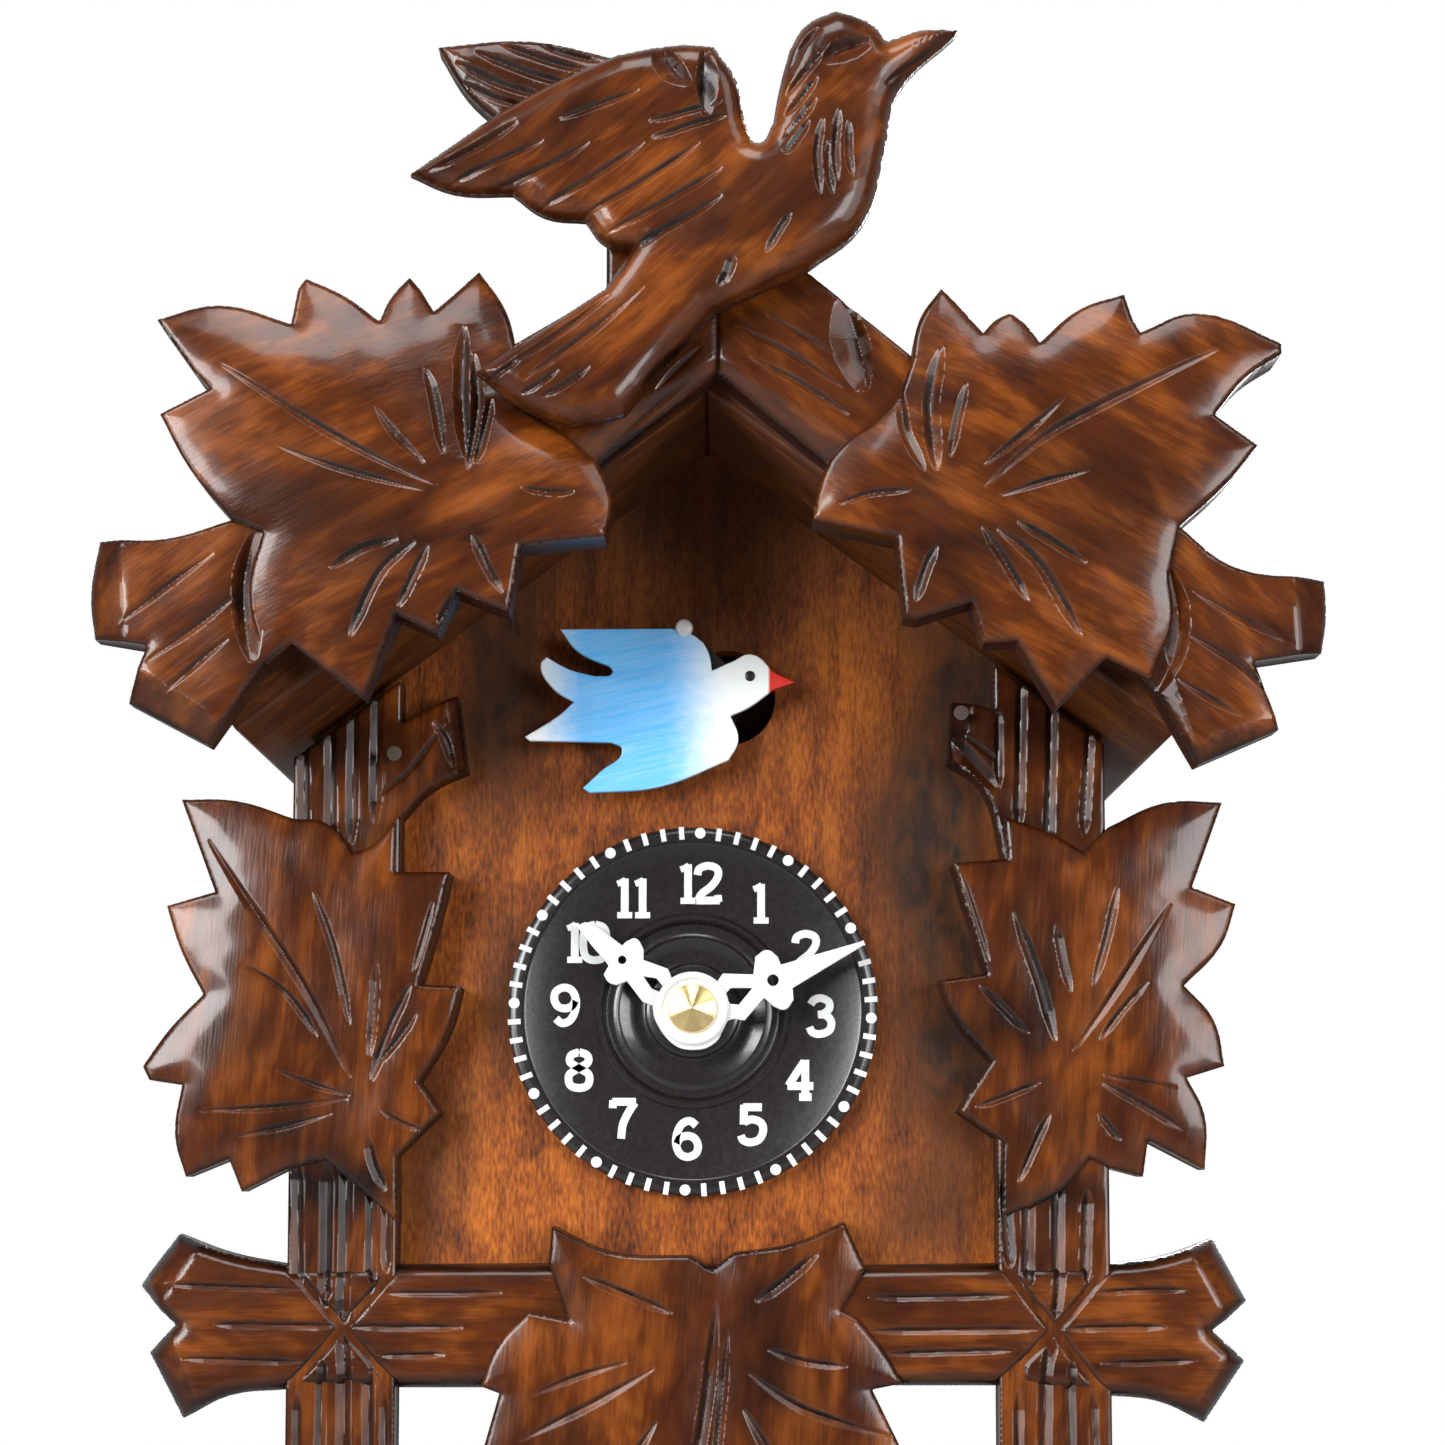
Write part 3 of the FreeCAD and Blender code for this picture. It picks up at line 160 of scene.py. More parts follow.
woodGrain = {"streak": (1.3, 1.3, 16), "figure": (5, 5, 15), "cloud": (2.6, 2.6, 5)}  # mm
woodLooks = {  # fibre: its width in mm, long: its length in widths, fleck: how strongly it shows
    "carvedWood": {"deep": (0.006, 0.0021, 0.0012), "dark": (0.027, 0.0062, 0.0021),
                   "mid": (0.068, 0.0152, 0.0022), "light": (0.18, 0.046, 0.0056), "figure": 1.9,
                   "fibre": 0.28, "long": 14, "fleck": 0.45, "gloss": 0.2, "coat": 0.3},
    "panelWood": {"deep": (0.020, 0.0085, 0.0030), "dark": (0.055, 0.013, 0.0028),
                  "mid": (0.205, 0.048, 0.0045), "light": (0.39, 0.110, 0.010), "figure": 1.2,
                  "fibre": 0.3, "long": 4, "fleck": 1.7, "gloss": 0.4, "coat": 0.1},
    "caseWood": {"deep": (0.007, 0.0024, 0.0012), "dark": (0.040, 0.011, 0.003),
                 "mid": (0.075, 0.020, 0.004), "light": (0.17, 0.054, 0.009), "figure": 0.9,
                 "fibre": 0.26, "long": 8, "fleck": 0.9, "gloss": 0.42, "coat": 0.15},
    "plainWood": {"deep": (0.10, 0.055, 0.022), "dark": (0.28, 0.17, 0.08),
                  "mid": (0.46, 0.31, 0.16), "light": (0.62, 0.46, 0.27), "figure": 0.9,
                  "fibre": 0.3, "long": 9, "fleck": 0.6, "gloss": 0.62, "coat": 0.0},
}


def woodFinish(name, look, turn=0, spots=()):  # turn: of the grain from upright, in degrees
    material, wire, shader = newFinish(name, {"Coat Weight": look["coat"], "Coat Roughness": 0.1,
                                              "IOR": 1.46, "Specular IOR Level": 0.26})
    across = look["fibre"]
    fibre = wire.noise(wire.placed(turn=turn, size=(across, across, across * look["long"])), 1.0, 4)
    streak = wire.noise(wire.placed(turn=turn, size=woodGrain["streak"]), 1.0, 4, 0.4)
    figure = wire.noise(wire.placed(turn=turn + 8, size=woodGrain["figure"]), 1.0, 3, 0.8)
    cloud = wire.noise(wire.placed(turn=turn, size=woodGrain["cloud"]), 1.0, 3, 0.7) - 0.5
    fine = (fibre - 0.5) * look["fleck"] + cloud * 0.9
    tone = ((figure - 0.5) * look["figure"] + (streak - 0.5) * 0.8 + fine + 0.5).clamped()
    stain = tone.add("ShaderNodeValToRGB", {"stops": [(0.0, look["dark"]), (0.5, look["mid"]),
                                                      (1.0, look["light"])]}, {0: tone})
    # the shade attribute and the spots tint the stain towards deep: sprayed stain, and painted shade
    # in the cuts, under the roof and where parts overlap
    shade = wire.add("ShaderNodeAttribute", {"attribute_name": "shade"}, {}, 2)
    for x, z, wide, tall, strength in spots:
        shade = shade + wire.spot(x, z, wide, tall) * strength
    shade = (shade + ((fibre - 0.5) * 0.6 + cloud * 1.3) * shade).clamped()
    colour = wire.tint(shade, stain, look["deep"])
    wall = wire.add("ShaderNodeAttribute", {"attribute_name": "wall"}, {}, 2)
    rough = look["gloss"] + (fibre - 0.4) * 0.12 + figure * 0.08 + wall * 0.45
    plug(wire, shader, {"Base Color": colour, "Roughness": rough,
                        "Coat Weight": (1 - (wall * 9).clamped()) * look["coat"],
                        "Normal": bumped(wire, fibre * 0.7 + streak * 0.3, 0.03)})
    return material


def plasticFinish(name, colour, rough, grain=0.012):
    material, wire, shader = newFinish(name, {"Coat Weight": 0.3, "Coat Roughness": 0.1, "IOR": 1.5})
    place = wire.placed()
    peel = wire.noise(place, 1.6, 2)
    cloud = wire.noise(place, 0.25, 2)
    tinted = wire.tint(cloud * 0.5, colour, tuple(c * 0.8 for c in colour))
    plug(wire, shader, {"Base Color": tinted, "Roughness": rough + (peel - 0.5) * 0.14,
                        "Normal": bumped(wire, peel, grain)})
    return material


def metalFinish(name, colour, rough, stain=0.25, rings=None):
    material, wire, shader = newFinish(name, {"Metallic": 1.0, "IOR": 1.45})
    lines = wire.noise(wire.placed(size=(0.06, 0.06, 3.0)), 1.0, 3)  # brushed upwards
    cloud = wire.noise(wire.placed(), 0.3, 4)
    if rings:  # turned on a lathe about this point
        lines = wire.add("ShaderNodeTexWave", {"wave_type": "RINGS", "rings_direction": "Y"},
                         {0: wire.placed((rings[0], 0, rings[1])), "Scale": 2.2, "Distortion": 0.4}, 1)
    worn = wire.tint((cloud - 0.35).clamped() * stain * 2, colour, tuple(c * 0.45 for c in colour))
    plug(wire, shader, {"Base Color": worn, "Roughness": rough + (lines - 0.5) * 0.2,
                        "Normal": bumped(wire, lines, 0.004)})
    return material


paintLook = {  # x in mm where the blue begins, is full, fades and has gone, and of the beak
    "left": -18.5, "solid": -12.5, "fades": -4.6, "right": 2.6, "beak": 6.35,
    "blue": (0.10, 0.50, 1.0), "white": (0.93, 0.97, 0.98), "red": (0.70, 0.03, 0.02)}


def birdPaint(look):
    material, wire, shader = newFinish("bird_paint", {"Coat Weight": 0.5, "Coat Roughness": 0.12,
                                                      "IOR": 1.5})
    place = wire.placed()
    across = wire.add("ShaderNodeSeparateXYZ", {}, {0: place})
    mist = (wire.noise(place, 0.9, 3) - 0.5) * 2.2
    here = across + mist
    feather = wire.noise(wire.placed(turn=78, size=(0.22, 1, 4.5)), 1.0, 2)
    left = here.over(look["left"], look["solid"])
    right = here.over(look["fades"], look["right"])
    blue = ((left - right).clamped() * (1.12 - feather * 0.4)).clamped()
    tinted = wire.tint(blue, look["white"], look["blue"])
    beak = across.over(look["beak"] - 0.15, look["beak"] + 0.15)
    colour = wire.tint(beak, tinted, look["red"])
    plug(wire, shader, {"Base Color": colour, "Roughness": 0.34 + mist * 0.03,
                        "Normal": bumped(wire, wire.noise(place, 1.2, 2), 0.015)})
    return material


panelStainAndShadeSpots = [  # x, z, half width, half height, strength: where the sprayed stain is thick, and across the top painted shadow under the roof
    (0, 10, 40, 26, 0.7), (-21.5, -13, 9.5, 19, 0.95), (27, -10, 14, 24, 0.9), (-27, 4, 18, 16, 0.8),
    (-21, -43, 5, 15, 0.6), (26, -46, 15, 34, 0.95), (-29, -58, 8, 22, 0.6), (20, -66, 12, 8, 0.4),
    (20, -26, 12, 16, 0.6), (-2, -15, 20, 12, 0.3)]
finishes = {
    "panel": woodFinish("panel_stain_and_painted_shade", woodLooks["panelWood"], 0, panelStainAndShadeSpots),
    "case": woodFinish("case_stain", woodLooks["caseWood"]),
    "roof": woodFinish("roof_stain", woodLooks["caseWood"], 90),
    "plain": woodFinish("plain_board", woodLooks["plainWood"]),
    "leftLeaf": woodFinish("left_leaf_stain", woodLooks["carvedWood"], 62),
    "rightLeaf": woodFinish("right_leaf_stain", woodLooks["carvedWood"], -62),
    "leftBoard": woodFinish("left_board_stain", woodLooks["carvedWood"], 52),
    "rightBoard": woodFinish("right_board_stain", woodLooks["carvedWood"], -52),
    "upright": woodFinish("upright_stain", woodLooks["carvedWood"], 4),
    "level": woodFinish("level_stain", woodLooks["carvedWood"], 90),
    "bird": woodFinish("bird_stain", woodLooks["carvedWood"], 48),
    "leftRoof": woodFinish("left_roof_stain", woodLooks["caseWood"], 53),
    "rightRoof": woodFinish("right_roof_stain", woodLooks["caseWood"], -53),
    "floor": plasticFinish("studio_floor", (0.3, 0.3, 0.3), 0.9, 0.0),
    "dial": plasticFinish("dial_plastic", (0.010, 0.0075, 0.0075), 0.27, 0.006),
    "painted": birdPaint(paintLook),
    "black": plasticFinish("black_plastic", (0.011, 0.009, 0.009), 0.3),
    "white": plasticFinish("white_plastic", (0.68, 0.69, 0.69), 0.34),
    "ink": plasticFinish("white_ink", (0.62, 0.64, 0.64), 0.5, 0.02),
    "brass": metalFinish("brass", (0.80, 0.58, 0.24), 0.28),
    # brass painted nearly black: painted shade inside the case, where the front plate shows through
    # the bird's hole
    "paintedShadeBrass": metalFinish("brass_painted_dark_as_shade", (0.055, 0.04, 0.02), 0.5),
    "turnedBrass": metalFinish("turned_brass", (0.74, 0.57, 0.27), 0.2, 0.1, (dialX, dialZ)),
    "steel": metalFinish("steel", (0.56, 0.57, 0.59), 0.3),
    "brad": metalFinish("brad_steel", (0.2, 0.16, 0.13), 0.4),
    "spring": metalFinish("blued_spring", (0.20, 0.22, 0.27), 0.34),
}
print("finishes made")


def drawn(rings, **settings):  # the mesh of flat closed outlines; a third number marks a smooth point
    curve = bpy.data.curves.new("ring", "CURVE")
    curve.dimensions = "2D"
    for key, value in settings.items():
        setattr(curve, key, value)
    for points in rings:
        spline = curve.splines.new("BEZIER")
        spline.bezier_points.add(len(points) - 1)
        spline.use_cyclic_u = True
        for knot, (x, z, *soft) in zip(spline.bezier_points, points):
            knot.co = (x, z, 0)
            knot.handle_left_type = knot.handle_right_type = "AUTO" if soft else "VECTOR"
    holder = bpy.data.objects.new("ring", curve)
    scene.collection.objects.link(holder)
    bm = bmesh.new()
    bm.from_mesh(bpy.data.meshes.new_from_object(holder))
    bpy.data.objects.remove(holder)
    bmesh.ops.remove_doubles(bm, verts=bm.verts, dist=1e-3)
    bmesh.ops.rotate(bm, verts=bm.verts, matrix=Matrix.Rotation(math.pi / 2, 3, "X"))
    return bm


def flowing(points, steps=7):  # a smooth line through the points
    p = np.array([points[0], *points, points[-1]], float)
    t = np.linspace(0, 1, steps, endpoint=False)[:, None]
    runs = [0.5 * (2 * b + (c - a) * t + (2 * a - 5 * b + 4 * c - d) * t ** 2
                   + (3 * b - a - 3 * c + d) * t ** 3)
            for a, b, c, d in zip(p, p[1:], p[2:], p[3:])]
    return np.vstack([*runs, p[-1:]])


def nearLine(spots, line):  # each spot's distance to the line, its share of the way and its side
    best = np.full(len(spots), 1e9)
    share = np.zeros(len(spots))
    side = np.zeros(len(spots))
    lengths = np.linalg.norm(np.diff(line, axis=0), axis=1)
    whole = lengths.sum()
    done = 0.0
    for a, b, length in zip(line, line[1:], lengths):
        way = (b - a) / max(length, 1e-9)
        along = np.clip((spots - a) @ way, 0, length)
        off = spots - a - along[:, None] * way
        far = np.hypot(off[:, 0], off[:, 1])
        closer = far < best
        best = np.where(closer, far, best)
        share = np.where(closer, (done + along) / whole, share)
        side = np.where(closer, np.sign(way[0] * off[:, 1] - way[1] * off[:, 0]), side)
        done += length
    return best, share, side


def dice(bm, cell):  # cuts the flat face into a fine net
    for axis in (0, 2):
        normal = Vector((axis == 0, 0, axis == 2))
        reach = [v.co[axis] for v in bm.verts]
        waiting = bm.verts[:] + bm.edges[:] + bm.faces[:]
        for level in np.arange(min(reach) + cell * 0.53, max(reach), cell):
            cut = bmesh.ops.bisect_plane(bm, geom=waiting, dist=1e-6, plane_co=normal * level,
                                         plane_no=normal)
            left = [f for f in cut["geom"] if isinstance(f, bmesh.types.BMFace)
                    and f.calc_center_median()[axis] > level]
            waiting = list({e for f in left for e in (*f.verts, *f.edges, f)})


def carve(name, plan, body="case"):
    bm = drawn([plan["outline"]], fill_mode="NONE", resolution_u=5)
    rim = np.array([(v.co.x, v.co.z) for e in bm.edges for v in e.verts]).reshape(-1, 2, 2)
    bmesh.ops.contextual_create(bm, geom=bm.edges[:])
    bm.normal_update()
    if bm.faces[:][0].normal.y > 0:
        bmesh.ops.reverse_faces(bm, faces=bm.faces)
    dice(bm, plan["cell"])
    marks = [a + (b - a) * t for a, b in rim
             for t in np.arange(0, 1, 0.15 / max(0.15, math.dist(a, b)))]
    tree = KDTree(len(marks))
    for i, mark in enumerate(marks):
        tree.insert((mark[0], mark[1], 0), i)
    tree.balance()

    def rimDistance(spots):
        return np.array([tree.find((x, z, 0))[2] for x, z in spots])

    cuts = [(wide * 0.55, min(deep, wide * 0.38), flowing(points), *rest)
            for wide, deep, points, *rest in plan["grooves"]]
    for beyond in (0.2, 0.08):  # a finer net along the grooves, twice, and along the rim, once
        spots = np.array([(e.verts[0].co.x + e.verts[1].co.x, e.verts[0].co.z + e.verts[1].co.z)
                          for e in bm.edges]) / 2
        close = np.zeros(len(spots), bool)
        for half, deep, line, *rest in cuts:
            close |= nearLine(spots, line)[0] < half + beyond
        if beyond == 0.2:
            close |= rimDistance(spots) < min(plan["edge"][0], 0.8) + beyond
        picked = [e for e, c in zip(bm.edges[:], close) if c]
        bmesh.ops.subdivide_edges(bm, edges=picked, cuts=1, use_grid_fill=True)
    bm.verts.layers.float.new("shade")
    bm.verts.layers.float.new("wall")
    layer, walls = (bm.verts.layers.float[key] for key in ("shade", "wall"))
    top = bm.verts[:]
    spots = np.array([(v.co.x, v.co.z) for v in top])
    drop, shade = relief(spots, rimDistance(spots), plan, cuts)
    rimEdges = [e for e in bm.edges if e.is_boundary]
    pulled = bmesh.ops.extrude_edge_only(bm, edges=rimEdges)["geom"]
    low = [e for e in pulled if isinstance(e, bmesh.types.BMVert)]
    for v, d in zip(top, drop):
        v.co.y = -plan["front"] + d
    for v in low:
        v.co.y = -plan["back"]
    bmesh.ops.contextual_create(bm, geom=[e for e in bm.edges if e.is_boundary])
    bmesh.ops.recalc_face_normals(bm, faces=bm.faces)
    bmesh.ops.scale(bm, verts=bm.verts, vec=(mm, mm, mm))
    for v, dark in zip(top, shade):
        v[layer] = dark
    for v in low:
        v[layer] = 0.6
        v[walls] = 1.0
    return finished(name, bm, finishes[plan["finish"]], body)


def relief(spots, inside, plan, cuts):  # how far each point lies below the front, and its darkness, from stain and from painted shade
    wide, deep = plan["edge"]
    curl = np.clip(inside / wide, 0, 1)
    drop = deep * (1 - np.sqrt(1 - (1 - curl) ** 2))
    shade = plan.get("rimShade", 0.6) * np.exp(-(inside / plan.get("rimWide", 0.4)) ** 2)
    wide, deep = plan["crown"]
    drop += deep * (1 - np.clip(inside / wide, 0, 1)) ** 2
    for x, z, rx, rz, lift in plan.get("swells", ()):  # lift below 0 makes a hollow
        drop -= lift * np.exp(-((spots[:, 0] - x) / rx) ** 2 - ((spots[:, 1] - z) / rz) ** 2)
    for x, z, dx, dz, slope in plan.get("facets", ()):  # flat cuts that fall away towards dx, dz
        beyond = ((spots[:, 0] - x) * dx + (spots[:, 1] - z) * dz) / math.hypot(dx, dz)
        drop += np.clip(beyond, 0, None) * slope
        shade += 0.12 * np.clip(beyond * 3, 0, 1)
    for x, z, dx, dz, slope, soft in plan.get("leans", ()):  # gentle tilts that begin slowly
        beyond = ((spots[:, 0] - x) * dx + (spots[:, 1] - z) * dz) / math.hypot(dx, dz)
        drop += soft * np.logaddexp(0, beyond / soft) * slope
    trench = np.zeros(len(spots))
    for half, deep, line, *rest in cuts:
        far, share, side = nearLine(spots, line)
        ends = rest[0] if rest else 0.45
        lean = rest[1] if len(rest) > 1 else 0.0
        swell = np.clip(np.minimum(share, 1 - share) * 2 / ends, 0, 1) ** 0.6
        reach = half * (0.25 + 0.75 * swell)
        skew = far * side / reach
        vee = np.where(skew < lean, (skew + 1) / (lean + 1), (1 - skew) / (1 - lean))
        trench = np.maximum(trench, deep * swell * np.clip(vee, 0, None))
        drop += 0.22 * min(1, deep) * np.exp(-(far / 1.7) ** 2) * swell
        shade += 0.22 * np.exp(-(far / (half * 1.9)) ** 2) * (far > reach)
        # painted shade inside the cut, heavier on one wall, as if that wall faced away from the light
        cutWallPaintedShade = np.where(skew * (line[-1] - line[0])[0] < 0, 0.25, 0.8)
        shade += cutWallPaintedShade * np.clip(vee * 2, 0, 1) * swell
    # dark patches: sprayed stain, and painted shade where one part lies against another
    for x, z, rx, rz, strength in plan["patches"]:
        shade += strength * np.exp(-((spots[:, 0] - x) / rx) ** 2 - ((spots[:, 1] - z) / rz) ** 2)
    wave = np.sin(spots[:, 0] * 1.1 + 0.7 * np.sin(spots[:, 1] * 0.9)) * np.sin(spots[:, 1] * 1.3 + 1)
    return drop + trench + 0.012 * wave, np.clip(shade, 0, 1)


def finished(name, bm, material, body, angle=24):  # the piece's mesh, placed on its body
    mesh = bpy.data.meshes.new(name)
    bm.to_mesh(mesh)
    bm.free()
    mesh.shade_smooth()
    mesh.set_sharp_from_angle(angle=math.radians(angle))
    piece = bpy.data.objects.new(name, mesh)
    scene.collection.objects.link(piece)
    mesh.materials.append(material)
    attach(piece, body)
    return piece


def plate(name, rings, back, front, material, body, edge):  # a flat piece with holes
    bm = drawn(rings, fill_mode="BOTH", resolution_u=6, extrude=(front - back) / 2 - edge,
               bevel_depth=edge, bevel_resolution=2, offset=-edge)
    bmesh.ops.translate(bm, verts=bm.verts, vec=(0, -(front + back) / 2, 0))
    bmesh.ops.recalc_face_normals(bm, faces=bm.faces)
    bmesh.ops.scale(bm, verts=bm.verts, vec=(mm, mm, mm))
    return finished(name, bm, material, body)


def disc(x, z, radius, count=8):  # a round ring of smooth points
    turns = [math.tau * i / count for i in range(count)]
    return [(x + radius * math.cos(turn), z + radius * math.sin(turn), 1) for turn in turns]


def turned(name, profile, x, z, material, body, slot, steps):  # profile: radius, depth
    bm = bmesh.new()
    line = [bmesh.ops.create_vert(bm, co=(r, -y, 0))["vert"][0] for r, y in profile]
    for a, b in zip(line, line[1:]):
        bmesh.ops.contextual_create(bm, geom=[a, b])
    bmesh.ops.spin(bm, geom=bm.verts[:] + bm.edges[:], cent=(0, 0, 0), axis=(0, 1, 0),
                   angle=math.tau, steps=steps, use_merge=True)
    bmesh.ops.remove_doubles(bm, verts=bm.verts, dist=1e-4)
    bmesh.ops.recalc_face_normals(bm, faces=bm.faces)
    bmesh.ops.translate(bm, verts=bm.verts, vec=(x, 0, z))
    bmesh.ops.scale(bm, verts=bm.verts, vec=(mm, mm, mm))
    return finished(name, bm, material, body, 30)


leftRoofLeaf = {
    "front": leafFront, "back": roofSeat, "cell": 0.36, "edge": (0.45, 0.4), "crown": (3.5, 0.3),
    "finish": "leftLeaf",
    "outline": [
        (-18.1, 16.9), (-19.3, 21.1, 1), (-21.9, 25), (-24.1, 22.7, 1), (-26.1, 20.7),
        (-27.4, 22.9), (-28.5, 24.2), (-30.2, 22, 1), (-31.2, 19.5), (-34.5, 22, 1), (-38.3, 23.8),
        (-39, 22.7), (-39.5, 19), (-46.3, 20.8, 1), (-52.1, 19.2), (-48.4, 14), (-46.9, 12.4),
        (-51.6, 10), (-48.7, 4.7, 1), (-44.8, 0), (-41.8, -1.3), (-43.1, -6.8, 1), (-41.5, -13.7),
        (-39.1, -11.7), (-32.3, -16.7), (-29.2, -9), (-25.4, -10.8), (-23.5, -6.8), (-18.6, -8.8),
        (-17.5, -2.5), (-9.6, -1.6), (-8.9, 1.8, 1), (-10.3, 5.8), (-13.6, 8.5, 1), (-17.6, 10.9),
        (-19.5, 13.3)],
    "grooves": [
        (1.0, 0.6, [(-46.1, 14.8), (-38.3, 9.8), (-31.2, 5.8), (-25.3, 3.1)], 0.9),
        (0.8, 0.45, [(-40.6, 6.9), (-34.5, 4.7), (-26.5, 2.6)], 0.8),
        (0.9, 0.5, [(-31.3, 10.7), (-29.3, 7.9), (-26.5, 5.2)], 0.8),
        (1.1, 0.6, [(-26.8, 14.8), (-25.9, 12.2), (-24.8, 6.2)]),
        (1.5, 0.95, [(-23.1, 19.3), (-23.3, 12.7), (-22.7, 5.9)]),
        (1.2, 0.85, [(-22.2, 16.5), (-21.7, 11.2), (-22.5, 4.7)]),
        (1.1, 0.7, [(-20.4, 11.9), (-21.1, 8.3), (-21.8, 5.3)]),
        (0.8, 0.35, [(-17.5, 2.9), (-14.7, 2.5), (-12.4, 2.6)]),
        (1.0, 0.6, [(-22, -1.5), (-20.8, -4.3), (-19.2, -7.1)]),
        (1.0, 0.6, [(-26.2, -2.5), (-27.6, -5.5), (-29, -8.4)]),
        (1.1, 0.75, [(-27.4, -2.2), (-30.8, -5.2), (-33.6, -11.2)]),
        (1.0, 0.65, [(-29, -1.9), (-32.5, -2.9), (-35.5, -4.8)]),
        (0.8, 0.5, [(-23.8, -7.2), (-24.6, -8.6), (-25.2, -9.8)])],
    "leans": [
        (-36, 10.5, 0.45, 1, 0.22, 1.2), (-15, 4, 1, 0.3, 0.1, 1.5), (-36, 0, -0.1, -1, 0.12, 2)],
    "swells": [
        (-36, 15, 9, 6, 0.5), (-43, 13, 8, 5, 0.28), (-37, 3, 9, 4, 0.33), (-14, 5, 6, 4.5, 0.39),
        (-24, 3, 5, 4, -0.28), (-30, -6, 8, 5, 0.22)],
    "patches": [
        (-38, 1.5, 8, 3.5, 0.5), (-30, -1, 10, 3, 0.3), (-47, 18.5, 6, 2.5, 0.35),
        (-33, -7, 5, 5, 0.3), (-27, 12, 5, 6, 0.15), (-19, 14, 3, 5, 0.25)],
}
rightRoofLeaf = {
    "front": leafFront, "back": roofSeat, "cell": 0.36, "edge": (0.45, 0.4), "crown": (3.5, 0.3),
    "finish": "rightLeaf",
    "outline": [
        (19.5, 15.6), (20.3, 19.6, 1), (22.4, 22.7), (23.6, 21.4), (26.3, 18.1), (27.4, 19.3, 1),
        (28.9, 20.1), (30.3, 18.9, 1), (31.6, 17), (35.4, 20.3, 1), (39.7, 21.8), (40.4, 19.3),
        (41.1, 17.9), (46.3, 19.8, 1), (54.4, 16.8), (54.4, 15.8), (51, 13.5, 1), (48, 9.9),
        (52, 7), (48.9, 3.2, 1), (44.6, -0.7), (43.6, -5.3), (43.9, -9.7, 1), (41.8, -15),
        (37.7, -13), (33.1, -17.7), (29.3, -11.4), (26.2, -11.6), (25, -7.8), (19.9, -9.4),
        (18.7, -9.1), (17.9, -1.7), (10, 0), (10.6, 3.2, 1), (11.6, 5.8), (13.4, 7.8, 1),
        (15.8, 9.3), (18.3, 11.9)],
    "grooves": [
        (1.1, 0.65, [(48.5, 16.2), (37.1, 10.7), (31.4, 7.4), (26.2, 2.9)], 0.9),
        (0.9, 0.5, [(33.8, 11.4), (30.5, 8.5), (26.2, 5)], 0.8),
        (0.8, 0.4, [(36.1, 4.5), (31.9, 3.5), (27.6, 2.1)], 0.8),
        (1.6, 1.0, [(22.3, 16.7), (21.2, 11.2), (21.7, 4.5)]),
        (1.1, 0.65, [(18.4, 12.4), (18.8, 8.3), (20.6, 4.5)]),
        (0.9, 0.6, [(24.6, 13), (23.7, 9.5), (23, 5.8)]),
        (0.8, 0.4, [(12.4, 1.3), (15.4, 2.3), (19.3, 2.6)]),
        (1.0, 0.6, [(26, -0.8), (28.3, -4.4), (30.3, -7.9)]),
        (1.2, 0.75, [(27.4, -1), (31.3, -4.3), (35.3, -11.1)]),
        (1.0, 0.55, [(29.3, -0.3), (32.5, -2.2), (35.8, -4.3)]),
        (1.0, 0.65, [(21.7, -2.5), (20.6, -5), (19.7, -7.9)])],
    "leans": [(33, 12, -0.45, 1, 0.14, 1.2), (16, 4, -1, 0.3, 0.1, 1.5), (36, 0, 0.1, -1, 0.12, 2)],
    "swells": [
        (33, 14, 9, 6, 0.44), (47, 14, 8, 4, 0.28), (45, 3, 8, 4, 0.28), (16, 4, 6, 4, 0.33),
        (25, 3, 5, 4, -0.28), (35, -7, 8, 5, 0.22)],
    "patches": [
        (40, 4.5, 10, 3.2, 0.5), (35, -1, 9, 3, 0.35), (22.5, -4, 5, 3.5, 0.35),
        (52, 16.5, 3, 2, 0.3), (33, 9, 7, 4, 0.15)],
}
leftStubs = {
    "front": leafFront - 1.4, "back": roofSeat, "cell": 0.4, "edge": (0.4, 0.35),
    "crown": (2, 0.2), "finish": "leftBoard",
    "outline": [
        (-38.4, 0), (-44.9, 0.1), (-51.1, -1.7, 1), (-57.6, -1.7), (-58.5, -6.7, 1), (-58, -11),
        (-52.7, -11.9), (-54.7, -17.1), (-47, -21.2), (-41.8, -13.7), (-38.2, -10.5)],
    "grooves": [
        (0.9, 0.5, [(-46.5, -3.1), (-50.6, -6), (-55.4, -9.9)], 0.8),
        (0.9, 0.5, [(-44.1, -7), (-48.6, -10.5), (-52.8, -13.5)], 0.8),
        (0.9, 0.5, [(-45, -11.3), (-47.6, -13.3), (-50.9, -16.4)], 0.8),
        (2.6, 1.2, [(-42.5, -0.9), (-43.4, -6.7), (-42.7, -13.5)], 0.6, -0.3)],
    "facets": [(-55.0, -6, -1, -0.05, 0.62), (-50.5, -16, -0.55, -0.85, 0.62)],
    "patches": [(-56.5, -6, 1.6, 5, 0.35), (-50, -18, 4, 2.5, 0.35)],
}
rightStubs = {
    "front": leafFront - 1.4, "back": roofSeat, "cell": 0.4, "edge": (0.4, 0.35),
    "crown": (2, 0.2), "finish": "rightBoard",
    "outline": [
        (39.1, 0), (44.7, -0.5), (49.8, -4.4, 1), (58.7, -5.4), (58.8, -8.8, 1), (58.2, -12.4),
        (51.6, -13.4), (53.9, -19.8), (46.3, -23.1), (42.3, -16), (38.9, -12.4)],
    "grooves": [
        (0.9, 0.5, [(45.8, -6.7), (50.2, -9.2), (54.9, -11.7)], 0.8),
        (0.9, 0.5, [(44.6, -10.3), (50.2, -13.8), (53.6, -17.3)], 0.8),
        (0.9, 0.5, [(44.3, -15.1), (47.3, -16.9), (50.3, -18.7)], 0.8),
        (2.6, 1.2, [(43.5, -4.4), (44.2, -10.5), (42.4, -16.2)], 0.6, 0.3)],
    "facets": [(55.5, -6, 1, 0.05, 0.62), (49, -20.2, 0.35, -1, 0.62), (45.2, -19, -1, -0.3, 0.62)],
    "patches": [(57, -6, 1.6, 5, 0.3), (49, -22, 4, 2, 0.35)],
}
